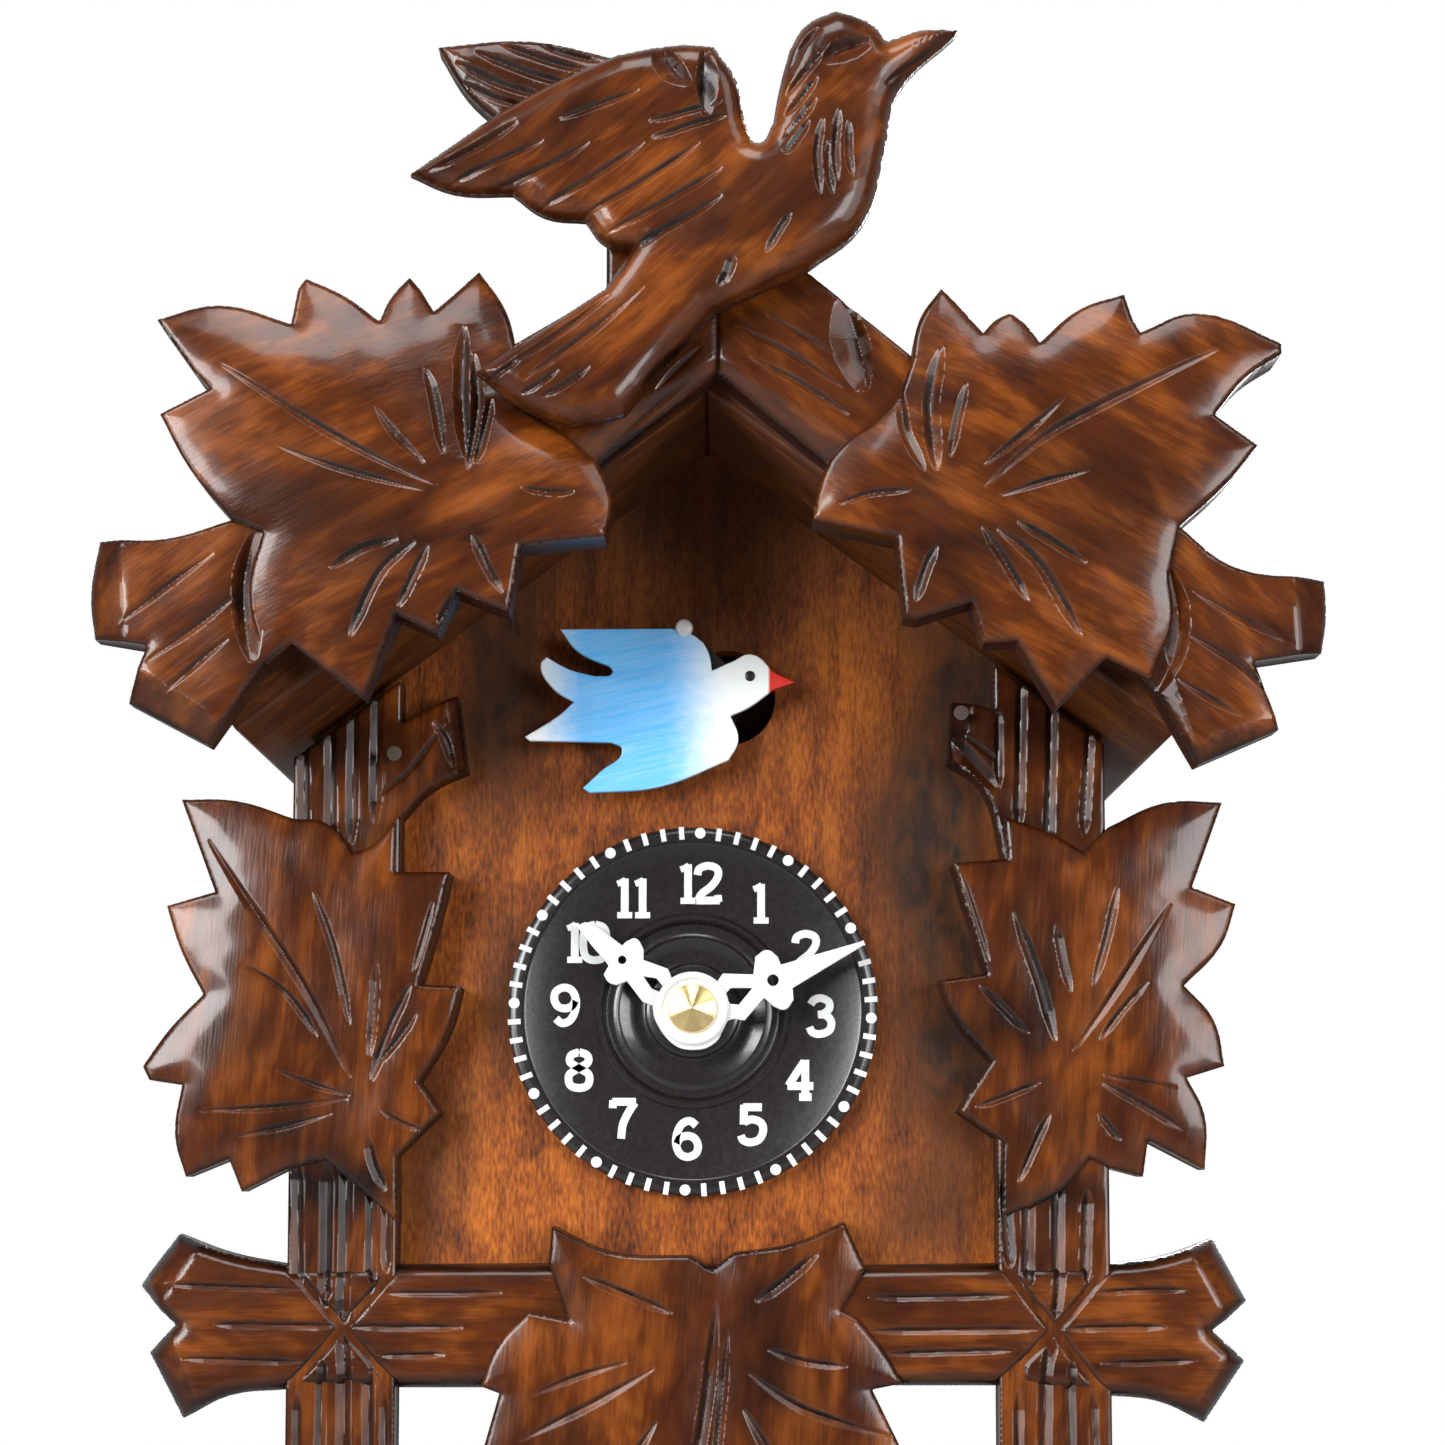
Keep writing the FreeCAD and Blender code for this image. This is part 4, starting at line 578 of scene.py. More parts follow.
leftBoard = {
    "front": leafFront - 2.6, "back": roofFront, "cell": 0.4, "edge": (0.4, 0.25),
    "crown": (2, 0.2), "finish": "leftBoard",
    "outline": [
        (1, 30.1), (-9.7, 22.5), (-18.3, 17.4), (-20.6, 13.8), (-17.7, 5.1), (-13.7, 2.2),
        (-10, 6.3), (1, 14.8)],
    "grooves": [
        (0.8, 0.45, [(-0.4, 17.2), (-2.5, 15.2), (-4.9, 12.8)], 0.8),
        (0.6, 0.3, [(-1.6, 14), (-5.4, 10.9), (-8.9, 7.8)], 0.8)],
    "facets": [(1, 16.2, 0.6, -1, 0.5)],
    # painted shadow of the roof leaf's edge on the board
    "patches": [(-10, 8, 4, 3, 0.3)],
}
rightBoard = {
    "front": leafFront - 2.6, "back": roofFront, "cell": 0.4, "edge": (0.4, 0.25),
    "crown": (2, 0.2), "finish": "rightBoard",
    "outline": [
        (1, 30.1), (9.8, 24.3), (19.6, 16.2), (21.3, 11.9), (18.4, 3.2), (11.6, 6.1), (1, 14.8)],
    "grooves": [
        (0.9, 0.45, [(4.1, 16.1), (8.9, 13.6), (13.6, 10.4)], 0.7),
        (0.8, 0.4, [(2.7, 19.2), (7.9, 16.5), (13.1, 13.1)], 0.8),
        (0.7, 0.3, [(5.6, 20.2), (8.9, 18.4), (12.5, 16.3)], 0.8),
        (3.4, 1.3, [(12.9, 21.7), (13.6, 17.9), (14.9, 12.8)], 0.8, 0.5)],
    "facets": [(1, 16.2, -0.6, -1, 0.5)],
    # painted shadow of the roof leaf's edge on the board
    "patches": [(14, 12, 4, 3, 0.2)],
}
roofPieces = [carve("left_roof_leaf", leftRoofLeaf), carve("left_roof_branch", leftStubs),
              carve("left_gable_board", leftBoard), carve("right_roof_leaf", rightRoofLeaf),
              carve("right_roof_branch", rightStubs), carve("right_gable_board", rightBoard)]
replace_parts(roofPieces[0], "left_roof_carving")
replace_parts(roofPieces[3], "right_roof_carving")
print("roof carvings made")


leftLeaf = {
    "front": sideFront, "back": panelFront, "cell": 0.36, "edge": (0.45, 0.4), "crown": (3.5, 0.3),
    "finish": "upright",
    "outline": [
        (-42.8, -61), (-47.2, -63.2), (-48.5, -59.9), (-52.9, -61.7), (-54, -57.5, 1),
        (-53.3, -52.4), (-56.7, -51.9), (-57.4, -50.5), (-54.6, -46.6, 1), (-51.3, -43.2),
        (-53.7, -38.7, 1), (-55.3, -34.1), (-50.3, -32.7), (-54, -23.1), (-48.3, -23.3, 1),
        (-42.3, -25.2), (-39.1, -25.6, 1), (-36.3, -28.7), (-34.3, -28, 1), (-31.8, -25.2),
        (-31.9, -30.7), (-26.3, -30.7), (-27.3, -35.1, 1), (-29.3, -42.2), (-25.1, -42.4),
        (-26.3, -46.8, 1), (-29.3, -52.1), (-27.1, -55.2), (-31.5, -59.6), (-31.4, -66.3),
        (-35.1, -63, 1), (-38.7, -60)],
    "grooves": [
        (1.2, 0.8, [(-51.1, -27.3), (-47.6, -32.6), (-41.4, -41.8), (-36.2, -51.7)], 0.8),
        (0.9, 0.5, [(-47.5, -40.1), (-42.9, -43), (-39.6, -47.6)]),
        (0.9, 0.55, [(-40.2, -32.6), (-37.9, -39.2), (-36.3, -46.4)]),
        (1.0, 0.6, [(-33.7, -39.7), (-33.9, -44.8), (-34.3, -49.6)]),
        (1.1, 0.7, [(-30.1, -42.1), (-32.4, -46.9), (-34.1, -52.1)]),
        (0.6, 0.3, [(-27.9, -33.6), (-28.8, -37.2), (-29.9, -41)]),
        (0.9, 0.6, [(-29.5, -45.1), (-31.5, -47.9), (-33.8, -50.6)]),
        (0.8, 0.4, [(-33.1, -55), (-31.1, -56.2), (-29, -57)]),
        (1.1, 0.7, [(-34.4, -57.5), (-33.9, -60.2), (-32.6, -63.2)]),
        (0.8, 0.4, [(-43.8, -50.9), (-40.2, -52.3), (-36.2, -53.5)], 0.8),
        (0.9, 0.5, [(-51.6, -55), (-44.3, -54.7), (-36.4, -53.8)], 0.8),
        (0.8, 0.45, [(-47.8, -57.6), (-43.2, -56.7), (-38, -55.3)], 0.8)],
    "leans": [(-46, -40, -1, 0.5, 0.08, 1.5), (-44, -55, -0.2, -1, 0.08, 1.5)],
    "swells": [
        (-47, -37, 6, 9, 0.39), (-50, -52, 6, 5, 0.28), (-32, -38, 5, 8, 0.28),
        (-37, -53, 5, 4, -0.33)],
    "patches": [
        (-49, -47, 5, 4.5, 0.55), (-40, -42, 2.5, 8, 0.25), (-43, -57, 5, 2.5, 0.5),
        (-39, -60, 4, 2, 0.5), (-35, -62.5, 4, 2.2, 0.8)],
}
leftPost = {
    "front": sideFront - 1.1, "back": panelFront, "cell": 0.4, "edge": (0.35, 0.3),
    "crown": (1.5, 0.1), "finish": "upright",
    "outline": [
        (-42.5, -18.8), (-31.5, -10.7), (-31.5, -15.2), (-25.75, -12.2), (-24.7, -20),
        (-28.7, -22, 1), (-31.5, -25), (-31.5, -90), (-30.5, -94.5, 1), (-28.5, -98),
        (-33.5, -101.5), (-37, -98), (-40.5, -101.5), (-45.5, -98), (-43.5, -94.5, 1),
        (-42.5, -90)],
    "grooves": [
        (1.3, 0.7, [(-41.6, -14), (-41.3, -28)], 0.3),
        (1.3, 0.75, [(-38.8, -10), (-38.6, -29)], 0.3),
        (1.3, 0.75, [(-36.3, -8), (-36.5, -28)], 0.3),
        (1.3, 0.8, [(-33.9, -8), (-34.1, -26)], 0.3),
        (1.3, 0.6, [(-41.6, -60), (-41.4, -73.5)], 0.3),
        (1.4, 0.8, [(-38.6, -60), (-38.6, -75)], 0.3),
        (1.4, 0.8, [(-36.6, -60), (-36.7, -76.5)], 0.2),
        (1.2, 0.7, [(-34.0, -62), (-34.1, -73.5)], 0.3),
        (1.0, 0.5, [(-32.6, -62), (-32.5, -71.5)], 0.3),
        (1.1, 0.6, [(-41.3, -83), (-41.3, -97)], 0.3),
        (1.2, 0.8, [(-38.9, -80), (-39.1, -97)], 0.3),
        (1.5, 0.8, [(-36.7, -77.5), (-36.6, -98)], 0.2),
        (1.3, 0.7, [(-34.2, -80), (-34, -97)], 0.3), (0.9, 0.5, [(-32.6, -83), (-32.5, -95)], 0.3),
        (1.0, 0.5, [(-26, -20), (-27, -17), (-28.2, -15)], 0.6),
        (0.8, 0.4, [(-34.4, -23.2), (-30.5, -20.1), (-27, -15.2)], 0.6)],
    "facets": [(-26.4, -16, 1, 0.15, 0.9)],
    "patches": [
        # the first patch is painted shadow under the side leaf's lower end, the third painted shadow
        # under the roof branch
        (-37, -62.5, 9, 3.2, 0.9), (-37, -26.5, 6, 2, 0.3), (-38, -17.5, 7, 3, 0.5),
        (-26, -17, 1.5, 4, 0.4)],
}
rightLeaf = {
    "front": sideFront, "back": panelFront, "cell": 0.36, "edge": (0.45, 0.4), "crown": (3.5, 0.3),
    "finish": "upright",
    "outline": [
        (40.8, -60.8), (44.2, -61.7), (44.7, -58), (50.5, -61), (50.5, -55.5, 1), (48.7, -51.7),
        (52.6, -50.5), (51.6, -45.8, 1), (48.6, -42.3), (52.5, -38.2, 1), (54.1, -33.9),
        (49.6, -32.2), (52.9, -23.4), (46.9, -23.5, 1), (41, -26.1), (38.5, -28.7),
        (35.3, -26.8, 1), (30.4, -25), (30.7, -29.3), (25.1, -29.8), (28.4, -41.1), (23.6, -41.8),
        (25.5, -46, 1), (28.9, -49.9), (25.5, -55.1), (30, -58.2), (29.9, -65.7), (35.2, -63.6, 1),
        (38.8, -59.8)],
    "grooves": [
        (0.9, 0.55, [(41.9, -32.1), (40.8, -37.2), (39.2, -42.5)]),
        (1.1, 0.65, [(47.3, -33.9), (40.9, -43.8), (37.1, -49.1)], 0.8),
        (0.9, 0.5, [(45, -41.8), (42.4, -44.6), (39.9, -47.9)]),
        (1.2, 0.75, [(31.3, -34.8), (33.8, -41.8), (35.4, -48.1)]),
        (0.9, 0.6, [(35.6, -35.9), (36.1, -39.2), (37, -43.1)]),
        (0.9, 0.6, [(27.7, -42.3), (30.1, -44.6), (32.7, -47.3)]),
        (0.6, 0.3, [(25.8, -30.5), (27.3, -35.2), (28.7, -39.9)]),
        (0.9, 0.5, [(27.2, -54.7), (30.5, -53.5), (33.9, -52.1)]),
        (0.9, 0.6, [(34.8, -55.2), (33.2, -58.5), (31.5, -62.3)]),
        (1.0, 0.6, [(40.1, -52.2), (44.3, -54.5), (48.6, -57.1)]),
        (0.8, 0.45, [(39.7, -55.2), (40.6, -56.5), (41.9, -58.1)]),
        (0.8, 0.4, [(40.1, -51.4), (43.9, -52.1), (47.7, -52.7)], 0.8)],
    "leans": [(44, -44, 1, 0.35, 0.08, 1.5), (40, -58, 0.2, -1, 0.12, 1.5)],
    "swells": [
        (44, -37, 6, 9, 0.33), (47, -51, 6, 5, 0.28), (30, -40, 5, 8, 0.22),
        (36, -53, 5, 4, -0.33)],
    "patches": [
        (33, -40, 3.5, 8, 0.4), (30, -46, 5, 4, 0.55), (30, -57.5, 4, 3, 0.3),
        (37, -57, 4, 4, 0.25), (32, -64, 5, 1.4, 0.6), (27, -47, 3, 3, 0.3)],
}
rightPost = {
    "front": sideFront - 1.1, "back": panelFront, "cell": 0.4, "edge": (0.35, 0.3),
    "crown": (1.5, 0.1), "finish": "upright",
    "outline": [
        (29.5, -9.0), (40.8, -17.3), (40.8, -90), (41.5, -94.5, 1), (43.5, -98), (38.5, -101.5),
        (35, -98), (31.5, -101.5), (26.5, -98), (28.5, -94.5, 1), (29.5, -90), (29.5, -31),
        (30.5, -29.5), (28.2, -21.6, 1), (24.8, -19.1), (25.25, -12.75), (29.5, -13.75)],
    "grooves": [
        (1.3, 0.75, [(32.4, -10), (31.9, -26.5)], 0.3),
        (1.3, 0.8, [(35.6, -10), (34.9, -30)], 0.3), (1.2, 0.6, [(39.4, -15), (38.6, -27)], 0.3),
        (1.0, 0.5, [(30.0, -14), (29.9, -22)], 0.3), (1.3, 0.7, [(30.2, -62), (30.7, -71)], 0.3),
        (1.4, 0.8, [(32.6, -62), (32.4, -73)], 0.3), (1.4, 0.8, [(35.6, -62), (35.4, -76)], 0.2),
        (1.2, 0.7, [(38.6, -63), (38.2, -72.5)], 0.3), (1.1, 0.6, [(31.4, -83), (31.3, -97)], 0.3),
        (1.5, 0.8, [(34.2, -79), (33.8, -98)], 0.2), (1.3, 0.7, [(36.5, -80), (36.6, -97)], 0.3),
        (1.0, 0.6, [(38.9, -83), (39.2, -96)], 0.3),
        (2.0, 0.9, [(25.1, -16.8), (27.5, -19.6), (30, -22.2)], 0.6),
        (0.7, 0.4, [(26.5, -16.5), (28.5, -18.1), (30.4, -19.5)], 0.6)],
    "facets": [(26.8, -16, -1, 0.2, 0.9)],
    "patches": [
        # the first patch is painted shadow under the side leaf's lower end, the third painted shadow
        # under the roof branch
        (35, -63, 8, 2.6, 0.7), (33, -25.5, 5, 2, 0.5), (35, -15.5, 7, 3, 0.5),
        (26, -15.5, 2, 4, 0.5), (35, -32, 4, 1.5, 0.3)],
}
sidePieces = [carve("left_side_leaf", leftLeaf), carve("left_post", leftPost),
              carve("right_side_leaf", rightLeaf), carve("right_post", rightPost)]
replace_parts(sidePieces[0], "left_side_carving")
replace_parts(sidePieces[2], "right_side_carving")
print("side carvings made")


crossbar = {
    "front": sideFront - 0.7, "back": panelFront, "cell": 0.4, "edge": (1.5, 1.5),
    "crown": (2.5, 0.3), "finish": "level", "rimShade": 0.9, "rimWide": 1.1,
    "outline": [
        (-42.6, -70.6), (-48.7, -69.4, 1), (-53.9, -67.5), (-58, -72.8), (-53.8, -76.6),
        (-56.8, -79.5), (-53.2, -86.1), (-48.2, -83.7, 1), (-42.5, -83.1), (-31.3, -82.9),
        (-14.8, -82.9), (15.4, -82.7), (29.3, -82.7), (40, -83.7), (45.6, -84.3, 1), (50.4, -86.5),
        (54.6, -80.3), (51.1, -77.2), (55, -74.3), (51.6, -68), (46.3, -69.8, 1), (40.9, -70.5),
        (29.6, -70.5), (15.4, -70.7), (-14.9, -70.5), (-31.4, -70.6)],
    "grooves": [
        (1.3, 1.0, [(-42.5, -70.4), (-36.8, -76.8), (-31.1, -83.2)], 0.1),
        (1.3, 1.0, [(-31.2, -70.4), (-36.8, -76.8), (-42.6, -83.3)], 0.1),
        (1.3, 1.0, [(29.9, -70.3), (35.1, -77.1), (40.2, -83.8)], 0.1),
        (1.3, 1.0, [(40.9, -70.3), (35.1, -77.1), (29.1, -82.9)], 0.1),
        (0.8, 0.5, [(-55, -72.5), (-47.7, -72.8), (-40.6, -73)], 0.4),
        (0.9, 0.55, [(-49.9, -76.5), (-43.6, -76.6), (-37.4, -76.7)], 0.3),
        (0.8, 0.5, [(-53.3, -79.9), (-47.1, -80.1), (-40.7, -80.3)], 0.4),
        (0.8, 0.5, [(-32.5, -73.4), (-26, -73.4), (-20.7, -73.3)], 0.4),
        (0.9, 0.5, [(-36.2, -76.7), (-30, -76.8), (-24.6, -76.8)], 0.4),
        (0.8, 0.45, [(-33.2, -79.6), (-29.9, -79.6), (-26.4, -79.5)], 0.4),
        (0.8, 0.5, [(16.2, -73.8), (22.5, -73.8), (31.1, -73.6)], 0.4),
        (0.9, 0.5, [(16.2, -77.2), (24.5, -77.1), (34.1, -77)], 0.4),
        (0.8, 0.45, [(17.9, -79.5), (23.5, -79.3), (31.3, -79.1)], 0.4),
        (0.8, 0.5, [(39.2, -73.4), (43.7, -73.1), (48.7, -73.1)], 0.4),
        (0.9, 0.5, [(36.1, -77), (41.1, -76.8), (46.5, -76.8)], 0.4),
        (0.8, 0.45, [(39.6, -80.4), (44.6, -80.3), (49.5, -80.1)], 0.4),
        (1.4, 0.8, [(-36.6, -69.6), (-36.8, -73.1), (-36.8, -76.3)], 0.3),
        (1.5, 0.8, [(-36.8, -77.3), (-36.6, -80.6), (-36.3, -84.1)], 0.3),
        (1.3, 0.7, [(-38.9, -69.1), (-38.7, -71.9), (-38.5, -74.1)], 0.3),
        (1.2, 0.6, [(-33.6, -69.1), (-33.6, -70.9), (-33.8, -72.5)], 0.3),
        (1.3, 0.8, [(35.9, -69.6), (35.5, -73.1), (35.2, -76.1)], 0.3),
        (1.3, 0.8, [(35, -77.9), (34.3, -80.6), (34, -84.1)], 0.3),
        (1.1, 0.6, [(32.4, -69.1), (32.5, -71.1), (32.6, -72.7)], 0.3),
        (1.1, 0.6, [(38.9, -69.1), (38.7, -70.7), (38.5, -72.5)], 0.3),
        (1.0, 0.6, [(-38.8, -80.1), (-38.8, -82.1), (-38.8, -84.1)], 0.3),
        (1.0, 0.6, [(-33.7, -80.6), (-33.5, -82.1), (-33.4, -84.1)], 0.3),
        (1.0, 0.6, [(31.9, -80.3), (31.7, -82.1), (31.6, -84.1)], 0.3),
        (1.0, 0.6, [(36.8, -80.3), (36.8, -82.1), (36.9, -84.1)], 0.3)],
    "facets": [
        (-52.5, -70.5, -1, 0.65, 0.68), (-51.6, -83.1, -1, -0.45, 0.68),
        (50.5, -72.3, 1, 0.55, 0.68), (50.4, -82.8, 1, -0.65, 0.68)],
    # the first two patches are painted shade where the crossbar shows beside the bottom leaf
    "patches": [(-16, -77, 3, 4, 0.5), (17.5, -77, 3, 4, 0.4), (-48, -76.6, 2.2, 0.8, 0.3)],
}
bottomLeaf = {
    "front": sideFront, "back": panelFront, "cell": 0.36, "edge": (0.45, 0.4), "crown": (4, 0.4),
    "finish": "upright",
    "outline": [
        (-16, -70.4), (-15.7, -66.7), (-9.8, -69.3, 1), (-1.7, -69.7), (0.5, -71.1), (2.7, -69.4),
        (8.9, -68.4, 1), (13.9, -66.3), (16, -70.9), (13.6, -75.1), (15.2, -75.9),
        (17.8, -79.1, 1), (19.7, -82.4), (16.6, -83), (19.2, -88.3), (21, -92), (15.5, -94),
        (17, -100), (10.5, -101), (7, -106, 1), (-0.5, -110), (-8, -106.5, 1), (-12, -101.5),
        (-19.5, -101), (-18, -94.5), (-24, -92.5), (-22.3, -88.3), (-20.9, -83.4), (-22.8, -82.7),
        (-21.2, -78.6, 1), (-18.1, -75.3), (-14, -76.1)],
    "grooves": [
        (1.1, 0.6, [(-12.5, -71.7), (-7.8, -73.6), (-3.5, -75.4)]),
        (0.9, 0.45, [(-17.8, -83.6), (-12.8, -81.6), (-7.9, -80.2)], 0.8),
        (1.1, 0.65, [(-19, -88.1), (-11.2, -84.2), (-5.2, -80.8)], 0.8),
        (1.4, 0.6, [(0.9, -74.1), (0.1, -83), (-1.7, -93.9)], 0.6),
        (1.0, 0.5, [(2.1, -77), (1.5, -84), (0.5, -93.9)], 0.6),
        (1.2, 0.75, [(11.1, -69.4), (7.9, -72.1), (4.9, -74.3)]),
        (0.9, 0.55, [(6.1, -79), (9.8, -80.2), (14.2, -80.7)]),
        (1.1, 0.65, [(4.1, -81.3), (9.8, -85), (18.6, -87.7)], 0.8),
        (1.1, 0.65, [(3.6, -84.8), (5.8, -88.5), (9.3, -93.9)], 0.7),
        (1.0, 0.6, [(-5, -86), (-9, -92), (-14.5, -98)]),
        (0.9, 0.5, [(-2.5, -92), (-5, -99), (-6.5, -104)]),
        (0.9, 0.5, [(2.5, -92), (4, -99), (5, -103)])],
    "swells": [
        (-9, -76, 7, 5, 0.28), (10, -74, 6, 5, 0.33), (14, -84, 5, 6, 0.28),
        (0, -80, 3, 12, -0.28), (-12, -88, 7, 5, 0.22), (0, -90, 6, 10, 0.17)],
    "patches": [
        (6.5, -77, 3, 8, 0.55), (-4, -72, 4, 2, 0.3), (9, -83, 5, 3, 0.35), (-14, -74, 3, 3, 0.25),
        (-15, -90, 4, 3, 0.35), (1, -70, 2, 1.2, 0.7), (8, -95, 6, 5, 0.35),
        (-6, -103, 6, 5, 0.3)],
}
barPieces = [carve("crossbar", crossbar), carve("bottom_leaf", bottomLeaf)]
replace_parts(barPieces[0], "crossbar_carving")
print("crossbar made")


topBird = {
    "front": birdFront - 0.2, "back": birdFront - 3.2, "cell": 0.34, "edge": (0.9, 0.9),
    "crown": (2.6, 1.3), "finish": "bird", "rimShade": 0.3, "slot": "carved_bird",
    "outline": [
        (23.9, 46.6), (20.8, 46.7, 1), (17.1, 45.5), (16.4, 46.6, 1), (14.6, 47.8, 1),
        (12.3, 48.5), (9.4, 47, 1), (7.9, 44.6), (6.9, 40.8, 1), (6.3, 37.4), (4.9, 35.5, 1),
        (3.6, 37.6), (2.8, 41.8, 1), (0.7, 45), (-2.5, 45.2, 1), (-8.5, 44.2), (-14.4, 41.5, 1),
        (-19.7, 38.5), (-28, 32.6), (-23.9, 30.9, 1), (-18.3, 30.7), (-15.3, 28.6, 1),
        (-11.4, 28.1), (-9.6, 25.9, 1), (-7, 25.3), (-9.6, 21.5), (-21.7, 13.5), (-17.6, 10.4, 1),
        (-12.5, 8.4), (-7.7, 9.4), (0.7, 19.3), (9.7, 23.5), (14.7, 27.7, 1), (17, 35.5),
        (18.1, 40.5, 1), (23.5, 46)],
    "grooves": [
        (1.0, 0.5, [(-26.6, 32.4), (-22.4, 34.3), (-17.7, 37.1)]),
        (0.9, 0.45, [(-24.3, 31.2), (-20.5, 33), (-15.3, 35.3)]),
        (0.9, 0.45, [(-19.7, 31), (-15.8, 32.4), (-11, 35.1)]),
        (0.9, 0.5, [(-15.7, 28.9), (-11, 31.6), (-5.8, 35.1)]),
        (0.9, 0.5, [(-11.9, 28.1), (-6.3, 31.2), (-0.6, 35.1)]),
        (0.9, 0.5, [(-9.6, 26.4), (-4.4, 29.1), (1.5, 32.6)]),
        (0.9, 0.5, [(-7, 25.2), (-2.5, 27.5), (1.5, 29.9)]),
        (0.9, 0.55, [(-6.3, 25.2), (-4.4, 26.4), (-2.7, 27.7)]),
        (0.8, 0.35, [(-5.5, 37.1), (-1.6, 38.2), (1.5, 39.2)]),
        (0.8, 0.35, [(-5.2, 35.5), (-1.2, 36.9), (2, 37.8)]),
        (0.8, 0.3, [(-13.9, 37.3), (-10.1, 38.8), (-6.3, 40.2)]),
        (2.4, 1.0, [(-4.4, 45.1), (-3.7, 42.7), (-1.6, 40.8)], 0.8, 0.3),
        (2.0, 1.0, [(0, 44.7), (0.1, 41.5), (0, 37.6)], 0.8, -0.3),
        (1.0, 0.5, [(-5.8, 21.3), (-11, 16.9), (-17.1, 12.4)], 0.8),
        (0.8, 0.4, [(-9.1, 20.6), (-13.8, 16.9), (-18.9, 13.7)], 0.8),
        (0.8, 0.45, [(-10.9, 13.7), (-13.3, 11.9), (-15.6, 10.8)]),
        (0.9, 0.45, [(-0.6, 17.2), (-3.6, 14.6), (-6.2, 11.7)]),
        (0.7, 0.35, [(-17.5, 14.3), (-19.4, 13.1), (-20.5, 12.5)]),
        (0.7, 0.35, [(-13.8, 13.4), (-16.1, 11.7), (-17.5, 11.2)]),
        (1.0, 0.6, [(2.5, 24.3), (2, 22.5), (1.1, 21.4)]),
        (0.9, 0.5, [(10.6, 46.2), (8.9, 44.1), (7.9, 41.9)]),
        (0.9, 0.5, [(11, 43.7), (9.1, 41.5), (7.5, 39.6)]),
        (0.9, 0.5, [(10.4, 41.2), (8.9, 39.2), (7.4, 37.6)]),
        (0.9, 0.5, [(10.3, 39.2), (8.9, 37.3), (7.2, 35.1)]),
        (0.9, 0.5, [(9.6, 37.1), (8.4, 35.1), (7.3, 33.8)]),
        (0.9, 0.55, [(11, 37.3), (10.4, 34.1), (10.7, 29.9)]),
        (0.9, 0.55, [(12.5, 38.2), (12.1, 34.3), (12.3, 31.2)]),
        (0.8, 0.5, [(13.4, 37.1), (13.4, 33.7), (13.8, 31.6)]),
        (0.8, 0.5, [(11.5, 35.1), (11.5, 32.2), (11.9, 29.9)]),
        (0.8, 0.4, [(7.9, 28.1), (6.5, 25.9), (5.6, 24.3)]),
        (2.2, 0.9, [(11, 42.7), (12.9, 43.9), (15.5, 44.7)], 0.7, 0.3),
        (0.8, 0.6, [(16.8, 40.8), (19.3, 42.9), (22.7, 45.5)], 0.7)],
    "swells": [
        (10, 33, 6, 9, 0.83), (12, 43, 4.5, 4, 0.55), (-9, 35, 12, 6, 0.11), (-5, 15, 9, 5, -0.33),
        (4, 27, 7, 5, 0.5)],
    "patches": [
        (-17, 38, 5, 3, 0.25), (6, 31, 4, 3.5, 0.45), (12, 28, 4, 3, 0.45), (13, 47, 5, 2, 0.3),
        (1, 22, 4, 2, 0.4), (-24, 32.5, 4, 2, 0.2)],
}
farWing = {
    "front": birdFront - 6.1, "back": birdBack, "cell": 0.36, "edge": (0.6, 0.5),
    "crown": (3, 0.6), "finish": "bird", "slot": "carved_bird",
    "outline": [
        (-5.4, 43.4), (-8.2, 45.5), (-17, 47.4, 1), (-25.9, 46.8), (-23.2, 42.4, 1), (-20.1, 39.4),
        (-10.2, 38.4)],
    "grooves": [
        (1.0, 0.55, [(-19.9, 47), (-15.1, 45.2), (-11.2, 44.2)]),
        (1.0, 0.55, [(-22.3, 46.2), (-17, 44), (-12.7, 42.8)]),
        (1.0, 0.55, [(-24.2, 45.2), (-19.9, 43), (-15.5, 41.6)]),
        (0.9, 0.5, [(-23.5, 43.2), (-20.4, 41.6), (-17, 40.6)]),
        (0.9, 0.5, [(-16.1, 47), (-12.7, 45.8), (-9.8, 45.2)])],
    "patches": [(-17, 43, 7, 3, 0.35)],
}
perch = {
    "front": birdFront - 4.5, "back": birdBack, "cell": 0.4, "edge": (0.5, 0.4), "crown": (1, 0.1),
    "finish": "bird", "slot": "carved_bird",
    "grooves": [],
    "patches": [(-9, 24, 4, 3, 0.5)],
    "outline": [(-9.5, 26.5), (-9.5, 21.9), (-5.4, 22.6), (-5.4, 26.5)],
}
birdPieces = [carve("top_bird_body", topBird), carve("top_bird_far_wing", farWing),
              carve("top_bird_perch", perch)]
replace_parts(birdPieces[0], "top_bird")
backOfBird = [(12.3, 47.2), (8.9, 44.3, 1), (7.9, 38.4, 1), (5.6, 33.5, 1), (1.3, 35.5, 1),
    (-4.4, 33.5, 1), (-6.3, 26.7), (-7.7, 21.6), (-16.7, 13.6, 1), (-12.4, 10.7, 1), (-8.9, 11.2),
    (-0.6, 20.9), (7.9, 24.7, 1), (13.1, 29.1, 1), (15.4, 35.5, 1), (15.8, 42.3, 1)]
plate("top_bird_back", [backOfBird], birdBack + 0.7, birdFront - 2.3, finishes["bird"], "case",
      1.8)
eyeLook = {"centre": (14.7, 44.8), "radius": 0.75, "depth": birdFront - 1.9}
bead = bmesh.new()
bmesh.ops.create_uvsphere(bead, u_segments=24, v_segments=16, radius=eyeLook["radius"] * mm)
bmesh.ops.scale(bead, verts=bead.verts, vec=(1.25, 0.8, 0.85))
bmesh.ops.translate(bead, verts=bead.verts, vec=Vector((eyeLook["centre"][0], -eyeLook["depth"],
                                                        eyeLook["centre"][1])) * mm)
finished("top_bird_eye", bead, finishes["black"], "case")
print("top bird made")


